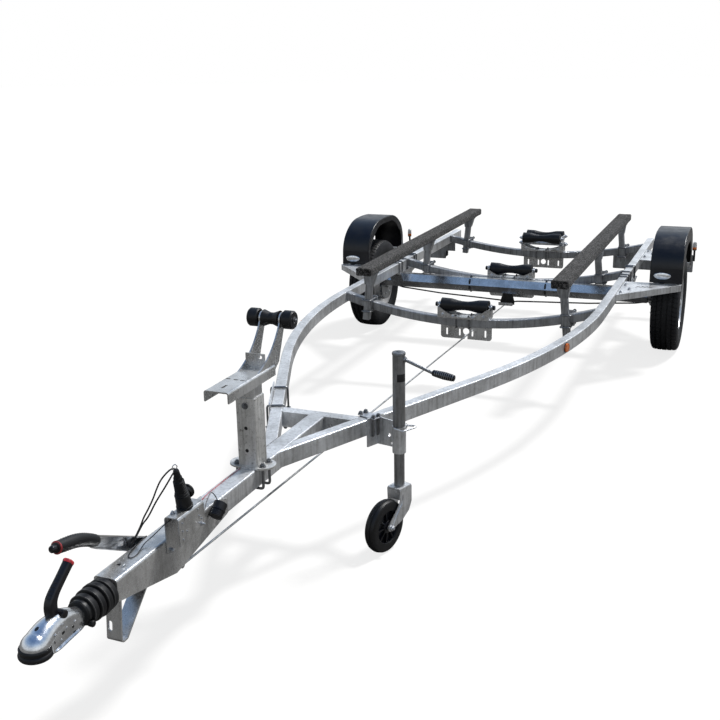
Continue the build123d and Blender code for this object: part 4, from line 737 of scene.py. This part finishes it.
BRACKET_BOLTS = ((-4405, 583), (-4405, 557), (-4405, 531), (-4390, 595), (-4382, 548), (-4318, 590),
                 (-4312, 566), (-4300, 552))     # y, z
shells = nuts([(88, y, z) for y, z in BRACKET_BOLTS], X, 5, 0, washer=False)
shells += nut((88, -4302, 536), X, 10, 5)
shells += nuts([(50, y, 604) for y in (-4395, -4312)], Z, 9, 2)
piece("bracket_bolts", shells, PLATED)

# ---- housing and drawbar
shells = []
for side in BOTH:
    shells += nuts([(side * 38, y, z) for y, z in ((-4402, 487), (-4300, 500), (-4120, 470))],
                   side * X, 15, 3)
piece("housing_bolts", shells, PLATED)
piece("housing_marks", [lathe((-8, -4590, 524.2), Z, ((0, 5.8), (1.4, 5.8), (1.6, 5.2)), 24)], CABLE)
clip = bent(((12, -4600, 523), (12, -4600, 530), (12, -4586, 530), (12, -4586, 523)), 4, 5)
piece("housing_clip", [tube(clip, 1.4, 8)], PLATED)
COIL_R, COIL_TURNS, COIL_START_Y, COIL_Z = 6, 12, -4290, 398
wound = np.linspace(0, COIL_TURNS * TURN, 200)
coil = np.stack([COIL_R * np.cos(wound), COIL_START_Y + 0.62 * wound,
                 COIL_Z + COIL_R * np.sin(wound) + 0.1 * wound], -1)
piece("reversing_spring", [tube(coil, 1.3, 7)], PLATED)

# ---- winch post and stand
shells = []
for shift in (-24, 24):
    shells += stirrup((0, POST_Y + shift, 541), X, -Z, 50, 95, rod=5, grip=13, size=15)
piece("post_stirrups", shells, STIRRUP)
shells, holes = nut((0, -3738, 523), Z, 17, 5), []
for side in BOTH:
    face = POST_Y + side * POST_HALF
    shells += nut((0, face, 749), side * Y, 15, 3) + nut((side * 87.2, -3622, 1001), side * X, 15, 1.5)
    # dark discs on the post's faces: painted shade standing for two holes
    for z in (668, 586):
        holes.append(lathe((0, face, z), side * Y, ((-0.3, 6.6), (0.25, 6.6), (0.3, 5)), 20))
piece("post_bolts", shells, STIRRUP)
piece("post_hole_shade", holes, CABLE)

# ---- rail clamps and crossmember fixings
CLAMP_Y = (-280, -215, -120, 40, 80)
shells = []
for side in BOTH:
    for y in CLAMP_Y:
        shells += stirrup((side * RAIL_X, y, 434), X, Z, 30.5, 92.6, rod=4.2, grip=15, ease=9)
piece("rail_stirrups", shells, STIRRUP, stands_for=("rail_clamps",))

MEMBERS = (
    # front face, top at the middle, half width of the cradle, height of its spindle
    (-1215, 413, 154, 486), (-99, 424, 154, 486), (927, 431, 162, 491),
)
BEAM_HALF = 25


def member_top(middle_top, x):
    """Height of a bowed beam's top at x: a circle through the rails' tops and the middle."""
    drop = RAIL_TOP - middle_top
    radius = (RAIL_INNER ** 2 + drop ** 2) / (2 * drop)
    return middle_top + radius - np.sqrt(radius ** 2 - x ** 2)


def bunk_post_x(front, middle_top):
    """Place of a left bunk post on its beam: the bunks spread to the rear, the posts lean inwards."""
    return BUNK_X + (front - 20 - BUNK_MIDDLE) * BUNK_SPREAD + (666 - middle_top - 45) * 0.105


bolts, ties, caps = [], [], []
for front, middle_top, half, spindle_z in MEMBERS:
    middle = front + BEAM_HALF
    seat = member_top(middle_top, half) + 0.1
    for x in (-47, 30):
        ties += stirrup((x, middle + 2, seat + 19), Y, -Z, 32.5, seat + 75 - middle_top, grip=14, ease=9)
    for side in BOTH:
        bolts += nuts([(side * 60, middle - 48, seat + 12), (side * 122, middle - 48, seat + 20)], -Y, 13, 2)
        bolts += nut((side * 122, middle + 48, seat + 20), Y, 13, 3)
        bolts += nut((side * (half + 2.5), middle, spindle_z), side * X, 24, 9)
        post_x = side * bunk_post_x(front, middle_top)
        top = member_top(middle_top, post_x)
        # square U-bolts above and below the beam, with a plate behind
        for z in (top + 8, top - 61):
            ties += stirrup((post_x, front + 71, z), X, -Y, 27, 118, grip=-16, ease=8)
        bolts.append(slab((post_x, front + 52.6, top - 26), X, Z, rounded_outline(74, 92, 8), 5))
piece("cradle_bolts", bolts, PLATED)
piece("cross_stirrups", ties, STIRRUP)
for front, middle_top, half, spindle_z in MEMBERS[:2]:
    for side in BOTH:
        caps.append(lathe((side * (half + 10), front + BEAM_HALF, spindle_z), side * X,
                          ((0, 13), (5, 14), (12, 14), (15, 11), (15.5, 6)), 24))
piece("spindle_caps", caps, PLASTIC)
ROCKER_Y, ROCKER_HALF, ROCKER_ROLLER_Z = 952, 68, 541
shells = []
for side in BOTH:
    shells += nuts([(side * 151.2, ROCKER_Y + end * ROCKER_HALF, ROCKER_ROLLER_Z) for end in BOTH],
                   side * X, 20, 7)
piece("rocker_nuts", shells, PLATED, body="rear_rocker")

# ---- keel rollers
ROLLER_HALF, GROOVE_PITCH = 142, 9
KEEL_PROFILE = ((0, 26.2), (20, 27), (45, 30.6), (66, 35.2), (82, 38.6), (100, 39.2), (142, 40.6))
KEEL_ROLLERS = (
    # name, y, z, body
    ("front", -1190, 486, "front_keel_roller"), ("middle", -74, 486, "middle_keel_roller"),
    ("rear_front", ROCKER_Y - ROCKER_HALF, ROCKER_ROLLER_Z, "rocker_roller_front"),
    ("rear_back", ROCKER_Y + ROCKER_HALF, ROCKER_ROLLER_Z, "rocker_roller_back"),
)


def roller_skin(y, z):
    """Waisted roller: the profile's radius less fine turned grooves every few millimetres."""
    x = np.linspace(-ROLLER_HALF, ROLLER_HALF, 130)
    radius = np.interp(np.abs(x), *np.asarray(KEEL_PROFILE, float).T)
    radius = radius - 0.5 * (np.cos(x * TURN / GROOVE_PITCH) > 0.86)
    end = ((ROLLER_HALF + 0.01, 8.6), (ROLLER_HALF, radius[0] - 3), (ROLLER_HALF - 1.5, radius[0]))
    return lathe((0, y, z), X, mirrored(*end, middle=[*zip(x[2:-2], radius[2:-2])]), 48)


for name, y, z, body in KEEL_ROLLERS:
    piece("roller_" + name, [roller_skin(y, z)], RUBBER, body=body, stands_for=("keel_roller_" + name,),
          sharp=50)

# ---- road wheels
TYRE_SKIN = ((66.5, 181.6), (67.5, 190), (70, 195), (75, 203), (81, 216), (85.4, 232), (87.3, 250),
             (86.6, 268), (83.6, 284), (79.5, 296), (74, 304.5), (66, 308.6), (56, 310.6))
TYRE_HALF, WALL_RINGS = 87.4, (206.0, 246.0, 288.0)
CROWN_R, CROWN_HALF, CROWN_DROP = 313.4, 56, 2.8
GROOVES = ((-47, 3.4), (-16.5, 4.0), (16.5, 4.0), (47, 3.4))     # middle and half width
GROOVE_DEPTH, SHOULDER_CUT, RIB_CUT, SLOTS_ROUND = 7.0, 4.5, 2.6, 66


def tyre_skin(side):
    """Tyre: section (offset, radius) turned round the axle.

    The wall is a smooth curve with three fine rings; the crown falls by the square of the offset,
    with square-cut grooves round it and slanted slots across the shoulders, SLOTS_ROUND to a turn.
    """
    wall = flowing(TYRE_SKIN, 3)
    ring = sum(np.exp(-((wall[:, 1] - r) / 1.1) ** 2) for r in WALL_RINGS)
    wall = wall + 0.9 * ring[:, None] * (0.8, 0.2)
    wall[:, 0] = np.minimum(wall[:, 0], TYRE_HALF)
    cuts = [c + d for c, w in GROOVES for d in (-w - 0.7, -w, w, w + 0.7)]
    crown = np.array(sorted([-54, -38, -28, 0, 28, 38, 54, *cuts]), float)
    crown_r = CROWN_R - CROWN_DROP * (crown / CROWN_HALF) ** 2
    in_groove = np.min([np.abs(crown - c) / w for c, w in GROOVES], axis=0) <= 1.01
    offset = np.concatenate([-wall[:, 0], crown, wall[::-1, 0]])
    radius = np.concatenate([wall[:, 1], crown_r - GROOVE_DEPTH * in_groove, wall[::-1, 1]])
    steps = np.array([0.0, 0.03, 0.2, 0.23, 0.6])
    pitch = (np.arange(SLOTS_ROUND)[:, None] + steps).ravel() * TURN / SLOTS_ROUND
    slot_here = np.tile([0.0, 1, 1, 0, 0], SLOTS_ROUND)
    out = np.abs(offset)
    shoulder = ((out > 49) & (out < 82) & (radius > 300)).astype(float)
    rib = ((out > 24) & (out < 49) & (radius > 309)).astype(float)
    cut = slot_here[:, None] * (SHOULDER_CUT * shoulder + RIB_CUT * rib)
    angle = pitch[:, None] + 0.0009 * out * (radius > 300)
    r = radius - cut
    return closed(np.stack([side * WHEEL_X + offset + 0 * angle, r * np.cos(angle),
                            WHEEL_Z + r * np.sin(angle)], -1), loop=True)


def ring_of(x, radius, count, start=0.0):
    """Places round the wheels' axis at x."""
    return [(x, radius * np.cos(a), WHEEL_Z + radius * np.sin(a)) for a in angles(count, start)]


HUB_CAP = ((0, 30.5), (4, 30.5), (10, 28.5), (16, 22), (19, 13), (19.8, 5))
for hand, side in HANDS:
    on_wheel = {"body": "wheel_" + hand}
    piece("tyre_skin_" + hand, [tyre_skin(side)], TYRE, stands_for=("tyre_" + hand,), sharp=28, **on_wheel)
    shells = nuts(ring_of(side * (WHEEL_X + 40), 46, 5, 0.3), side * X, 18, 3, washer=False)
    shells.append(lathe((side * (WHEEL_X + 57), 0, WHEEL_Z), side * X, HUB_CAP, 36))
    piece("wheel_nuts_" + hand, shells, PLATED, **on_wheel)
    valve = [(side * (WHEEL_X + out), 0, WHEEL_Z + up) for out, up in ((28, 158), (41, 153), (58, 147))]
    piece("valve_" + hand, [tube(flowing(valve, 6), 3.6)], RUBBER, **on_wheel)
    piece("backplate_bolts_" + hand, nuts(ring_of(side * 935, 78, 6), -side * X, 13, 3), PLATED)

# ---- mudguard badges and pads
BADGE = ((-357.6, 0.98), (-361, 1.0), (-362.6, 0.95), (-362.0, 0.9), (-362.4, 0.86), (-364, 0.5),
         (-364.4, 0.12))     # y and scale of each ring
badges, pads, shells = [], [], []
for side, x, z in ((1, 1013, 560), (-1, 1053, 555)):
    badges.append(closed([upright(side * x, y, z, scale * oval(50, 21.5)) for y, scale in BADGE]))
    for y in (-366, 366):
        pads.append(lathe((side * x, y, 513.6), Z, ((0, 15), (1, 17), (7, 17), (9, 14), (9.4, 9)), 28))
    for end in BOTH:
        shells += nuts([(side * a, -end * b, 514) for a, b in ((812, -700), (812, -480), (850, -600))],
                       Z, 15, 4)
piece("blank_badges", badges, CHROME, sharp=50)
piece("guard_pads", pads, RUBBER)
piece("guard_bracket_bolts", shells, PLATED)

# ---- bunk carpets
BUNK_W, BUNK_T, BUNK_TOP = 100, 48, 714


def carpet_skin(side):
    """Carpet round a board: a rounded rectangle carried along the slope, its nap a sum of sines.

    The ends are folded in: the section shrinks over the last 9 mm and bulges where it is tucked.
    """
    end = np.array([0, 1.2, 3.5, 7, 12])
    t = np.concatenate([end, np.linspace(20, BUNK_LENGTH - 20, 420), BUNK_LENGTH - end[::-1]])
    near = np.minimum(t, BUNK_LENGTH - t)
    shrink = 4.2 * np.exp(-near / 2.2) + 0.35
    flat = rounded_outline(BUNK_W, BUNK_T, 11, 8)
    flat = np.stack([flat, (flat + np.roll(flat, -1, axis=0)) / 2], axis=1).reshape(-1, 2)
    u = np.arange(len(flat))
    y, t = BUNK_FRONT + t, t[:, None]
    nap = (0.35 * np.sin(0.051 * t + 0.9 * u) + 0.25 * np.sin(0.113 * t - 0.5 * u + 1.3)
           + 0.2 * np.sin(0.37 * t + 1.7 * u))
    tuck = 0.9 * np.exp(-((near - 34) / 16) ** 2)[:, None] * (1 + 0.6 * np.sin(1.1 * u))
    grow = np.minimum(nap - 0.75 + tuck - shrink[:, None], 0.0)
    spot = flat + unit(flat) * grow[..., None]
    x = side * (BUNK_X + BUNK_SPREAD * (y - BUNK_MIDDLE))[:, None] + spot[..., 0]
    z = (BUNK_TOP - BUNK_T / 2 + BUNK_RISE * (y - BUNK_MIDDLE))[:, None] + spot[..., 1]
    return closed(np.stack([x, y[:, None] + 0 * x, z], -1))


for hand, side in HANDS:
    bunk = piece("carpet_" + hand, [carpet_skin(side)], CARPET, stands_for=("bunk_" + hand,), sharp=180)

# ---- jockey wheel
JOCKEY = np.array((356, -3300, 0.0))             # axis of the jockey tube
RAIL_OUT = np.array((np.cos(SLANT), -np.sin(SLANT), 0))
RAIL_WAY = np.array((np.sin(SLANT), np.cos(SLANT), 0))
MIRROR = (-1, 1, 1)


def rail_middle(y):
    """Centre of the left rail's slanted part at y, at height zero."""
    start_x = RAIL_X - BEND_R * (1 - np.cos(SLANT))
    start_y = BEND_END_Y - BEND_R * np.sin(SLANT)
    return np.array((start_x + (y - start_y) * np.tan(SLANT), y, 0.0))


gap = (JOCKEY - rail_middle(JOCKEY[1])) @ RAIL_OUT
clamp = JOCKEY - RAIL_OUT * gap + RAIL_OUT * 2.5
shells = []
for shift in (-4, 24):
    shells += stirrup(clamp + RAIL_WAY * shift + 541 * Z, RAIL_OUT, -Z, 35, 90)
piece("clamp_stirrups", shells, STIRRUP)
washer = JOCKEY + RAIL_WAY * 32 - RAIL_OUT * 44 + 468 * Z
shells = [slab(clamp + RAIL_WAY * 10 + 526.5 * Z, RAIL_OUT, RAIL_WAY, rounded_outline(92, 46, 6), 5),
          lathe(washer, -RAIL_WAY, ((-1.2, 13), (1, 13.5), (2.4, 13), (2.8, 7)), 30)]
shells += nut((377, -3279, 524), (-33, 5, -3), 13, 0)
piece("clamp_plate_parts", shells, PLATED)
shells = []
for y in (-3240, -3021):
    spot = (rail_middle(y) + RAIL_OUT * 3.5) * MIRROR + 426 * Z
    shells += stirrup(spot, RAIL_OUT * MIRROR, Z, 36, 100.8)
piece("plate_stirrups", shells, STIRRUP)

CASTOR_TURN, TRAIL, JOCKEY_R = np.radians(-16), 100, 105
FORK_X = np.array((np.cos(CASTOR_TURN), np.sin(CASTOR_TURN), 0))
FORK_Y = np.array((-np.sin(CASTOR_TURN), np.cos(CASTOR_TURN), 0))
hub = JOCKEY - TRAIL * FORK_Y
# the height at which the tread stands on the floor when the trailer is parked
hub[2] = WHEEL_Z + (JOCKEY_R - WHEEL_Z - hub[1] * np.sin(TIP)) / np.cos(TIP)
TREAD = mirrored((22, 66), (22, 84), (21.2, 92), (18.5, 98.6), (14, 101.6), (8.2, 103), (7.4, 101.8),
                 (6.2, 101.8), (5.4, 104), middle=[(0, 104.9)]) + [(12, 63), (-12, 63)]
DISH = mirrored((20, 20), (19, 24), (9, 27), (7, 60), (19, 64), (20.5, 66.5))
HUB_TUBE = mirrored((22, 7), (22, 13), (21, 19))
_, side_way, up_way = square_to(FORK_X)
around = circle(angles(96), side_way, up_way)
offset, radius = np.array(TREAD, float).T[:, :, None, None]
piece("jockey_tread", [closed(hub + offset * FORK_X + radius * around, loop=True)], RUBBER,
      body="jockey_roller", stands_for=("jockey_wheel",))
shells = [lathe(hub, FORK_X, DISH, 72), lathe(hub, FORK_X, HUB_TUBE, 36)]
for ray in circle(angles(9), side_way, up_way):
    for face in BOTH:
        rib = hub + ray * 43 + face * 12 * FORK_X
        shells.append(slab(rib, ray, FORK_X, rounded_outline(42, 12, 2), 4.4, 0.6))
piece("jockey_hub", shells, PLASTIC, body="jockey_roller")
shells = []
for side in BOTH:
    shells += nut(hub + side * 31 * FORK_X, side * FORK_X, 18, 5)
    # embossed swage down each leg of the fork
    leg = [JOCKEY + side * 31.4 * FORK_X + y * FORK_Y + z * Z
           for y, z in ((-18, 262), (-26, 226), (-62, 190), (-86, 150))]
    shells.append(tube(flowing(leg, 8), 2.2, 8))
piece("fork_fittings", shells, PLATED, body="jockey_castor")
shells = [
    lathe(JOCKEY + 812 * Z, Z, ((0, 24.4), (1, 25.6), (7, 25.8), (10.5, 24), (12, 19), (12.4, 8)), 44),
    lathe(JOCKEY + 824 * Z, Z, ((0, 9), (2, 9), (3, 6)), 20),
    lathe(JOCKEY + 795 * Z + 22 * X, X, ((0, 12), (4, 12), (6, 9.5), (8, 9)), 24),
]
piece("jockey_cap", shells, STIRRUP, body="jockey_outer")
TUBE_SKIN, LABEL_EDGE, LABEL_FACE = 24.1, 24.35, 24.7      # radii
arc = circle(np.linspace(-1.5, 0.1, 26), X, Y)
rings = [JOCKEY + z * Z + np.concatenate([high * arc, TUBE_SKIN * arc[::-1]])
         for z, high in ((711, LABEL_EDGE), (712, LABEL_FACE), (740, LABEL_FACE), (741, LABEL_EDGE))]
piece("blank_label", [closed(rings)], LABEL, body="jockey_outer")
profile = [(0, 9), (2, 11)]
for low in np.arange(5, 80, 7.5):
    high = np.interp(low, (0, 6, 45, 80, 87), (9, 12.6, 15, 12.6, 9))
    profile += [(low, high), (low + 4.6, high + 0.3), (low + 5.2, high - 1.1), (low + 6.9, high - 1.1)]
profile += [(85, 11.5), (87.5, 7), (88, 3)]
piece("crank_grip", [lathe((488, -3300, 755), (86, 0, -14), profile, 32)], PLASTIC, body="jockey_outer")

# ---- lamps
LENS_HEIGHT, LENS_FRONT = 86, 1033
STALK_X, STALK_Y, STALK_TOP = 1108, 986, 486


def lamp_block(x, width, height, front, rear, radius=9):
    """Rounded block from front to rear along Y, its rear face domed by two smaller rings."""
    return closed([
        upright(x, y, LAMP_Z, rounded_outline(width * scale, height * scale, radius * scale))
        for y, scale in ((front, 1), (rear - 3, 1), (rear - 0.8, 0.97), (rear, 0.9))])


housings, reds, ambers, clears = [], [], [], []
for side in BOTH:
    housings.append(lamp_block(side * LAMP_X, 220, 100, LAMP_PLATE_Y, 1034, 14))
    ambers.append(lamp_block(side * 968, 64, LENS_HEIGHT, LENS_FRONT, 1044.6))
    reds.append(lamp_block(side * 896, 72, LENS_HEIGHT, LENS_FRONT, 1044.8))
    clears.append(lamp_block(side * 826, 56, LENS_HEIGHT, LENS_FRONT, 1044.4))
    for shift in (-62, 62):
        screw = (side * (LAMP_X + shift), 1043.5, LAMP_Z)
        housings.append(lathe(screw, Y, ((0, 5), (1.3, 5), (1.4, 3)), 14))
    # stalk lamp: bent arm, foot, amber ring, clear dome, and a red lens to the rear
    x = side * STALK_X
    arm = ((x, 1001, 404), (x, 1000, 432), (x, 992, 458), (x, STALK_Y, STALK_TOP))
    housings.append(tube(flowing(arm, 8), 7.5, 14))
    housings.append(lathe((x, STALK_Y, STALK_TOP), Z, ((0, 8), (3, 14.6), (9, 15.2), (11, 14.4)), 28))
    ambers.append(lathe((x, STALK_Y, STALK_TOP + 10.5), Z, ((0, 14.6), (1, 15), (15, 14.9), (16, 14.4)), 28))
    clears.append(lathe((x, STALK_Y, STALK_TOP + 26.5), Z,
                        ((0, 14.4), (1, 14.9), (24, 14.2), (34, 11.5), (38.5, 6)), 28))
    reds.append(lathe((x, 999.6, 519), Y, ((0, 9), (2.6, 9), (3.6, 6)), 22))
piece("lamp_housings", housings, PLASTIC, stands_for=("tail_lamps",))
piece("lamp_reds", reds, RED_LENS)
piece("lamp_ambers", ambers, AMBER_LENS)
piece("lamp_clears", clears, CLEAR_LENS)

# side markers' bases, on the outer faces of the rails' bends
MARKER_TURN, MARKER_R, MARKER_Z = np.radians(11.5), 3700, 489.5
shells = []
for side in BOTH:
    out = np.array((side * np.cos(MARKER_TURN), -np.sin(MARKER_TURN), 0))
    root = MARKER_R * out + (side * (RAIL_X - BEND_R), BEND_END_Y, MARKER_Z)
    shells.append(lathe(root, out, ((0, 25.5), (2.6, 25.5), (3.2, 23)), 40))
piece("marker_bases", shells, PLASTIC)
REFLECTOR = ((0, 29), (4, 29), (6, 26), (6.4, 12))
piece("rear_reflectors", [lathe((x, LAMP_PLATE_Y, LAMP_Z), Y, REFLECTOR, 36) for x in (600, 700, -835)],
      RED_LENS)
plate_bolts = [(x, LAMP_PLATE_Y, z) for x in (735, 801, -735, -801) for z in (432, 410)]
piece("lamp_plate_bolts", nuts(plate_bolts, Y, 13, 3), PLATED)

# black ties round the hexagonal axle
hexagon = 49.5 / np.cos(np.pi / 6) * circle(angles(6, np.pi / 6), Y, Z) + (0, -165, 388)
piece("axle_ties", [closed([hexagon + (x + edge, 0, 0) for edge in (-5, 5)]) for x in (-255, 262)], CABLE)


# ---- floor, light and world
WHITE = (1, 1, 1, 1)
FLOOR_SIZE, FLOOR_GREY, FLOOR_GLOW = 700, (0.2, 0.2, 0.2, 1), 0.8
# what metal mirrors, by height: white at the horizon and blue overhead
SKY = ((0.0, (0.9, 0.93, 0.95)), (0.3, (0.86, 0.93, 1.0)), (0.62, (0.36, 0.53, 0.8)),
       (0.95, (0.1, 0.23, 0.5)))


def floor_material():
    """Floor that shows the shadow, lifted to white for the camera; metal mirrors it duller."""
    mat = bpy.data.materials.new("pale_floor")
    mat.use_nodes = True
    tree = mat.node_tree
    tree.nodes.clear()
    rays = node(tree, "LightPath").outputs
    shade = node(tree, "BsdfDiffuse", Color=FLOOR_GREY).outputs[0]
    for kind in ("Is Camera Ray", "Is Transmission Ray"):
        level = node(tree, "Math")
        level.operation = "MULTIPLY"
        tree.links.new(rays[kind], level.inputs[0])
        level.inputs[1].default_value = FLOOR_GLOW
        glow = node(tree, "Emission", Color=WHITE, Strength=level.outputs[0])
        both = node(tree, "AddShader")
        tree.links.new(shade, both.inputs[0])
        tree.links.new(glow.outputs[0], both.inputs[1])
        shade = both.outputs[0]
    node(tree, "OutputMaterial", Surface=shade)
    return mat


bpy.ops.mesh.primitive_plane_add(size=FLOOR_SIZE)
floor = bpy.context.object
floor.name = "studio_floor"
floor.data.materials.append(floor_material())

world = bpy.data.worlds.new("studio")
bpy.context.scene.world = world
world.use_nodes = True
tree = world.node_tree
light_path = node(tree, "LightPath").outputs


def backdrop(kind, color, strength, under):
    """Background that one kind of ray meets instead of the one under it."""
    shade = node(tree, "Background", Color=color, Strength=strength)
    pick = node(tree, "MixShader")
    for socket, value in zip(pick.inputs, (light_path[kind], under, shade.outputs[0])):
        tree.links.new(value, socket)
    return pick.outputs[0]


ambient = tree.nodes["Background"]
ambient.inputs["Color"].default_value = (0.96, 0.98, 1.0, 1)
ambient.inputs["Strength"].default_value = 0.24
height = node(tree, "SeparateXYZ", Vector=node(tree, "TexCoord").outputs["Generated"]).outputs["Z"]
seen = backdrop("Is Glossy Ray", ramp(tree, height, *SKY), 0.95, ambient.outputs[0])
seen = backdrop("Is Transmission Ray", WHITE, 1.0, seen)
seen = backdrop("Is Camera Ray", WHITE, 1.0, seen)
tree.links.new(seen, tree.nodes["World Output"].inputs["Surface"])


def sun_lamp(name, toward, strength, angle, color):
    """Even light from one direction, its shadows softened by the angle in degrees."""
    data = bpy.data.lights.new(name, "SUN")
    data.energy = strength
    data.angle = np.radians(angle)
    data.color = color
    lamp = added(name, data)
    lamp.rotation_mode = "QUATERNION"
    lamp.rotation_quaternion = (-Vector(toward)).to_track_quat("-Z", "Y")


sun_lamp("key", (0.28, 0.48, 0.83), 3.8, 9, (1.0, 0.985, 0.96))
sun_lamp("front_fill", (0.75, -0.6, 0.3), 0.15, 60, (0.95, 0.95, 0.9))
bpy.context.scene.view_settings.view_transform = "Standard"
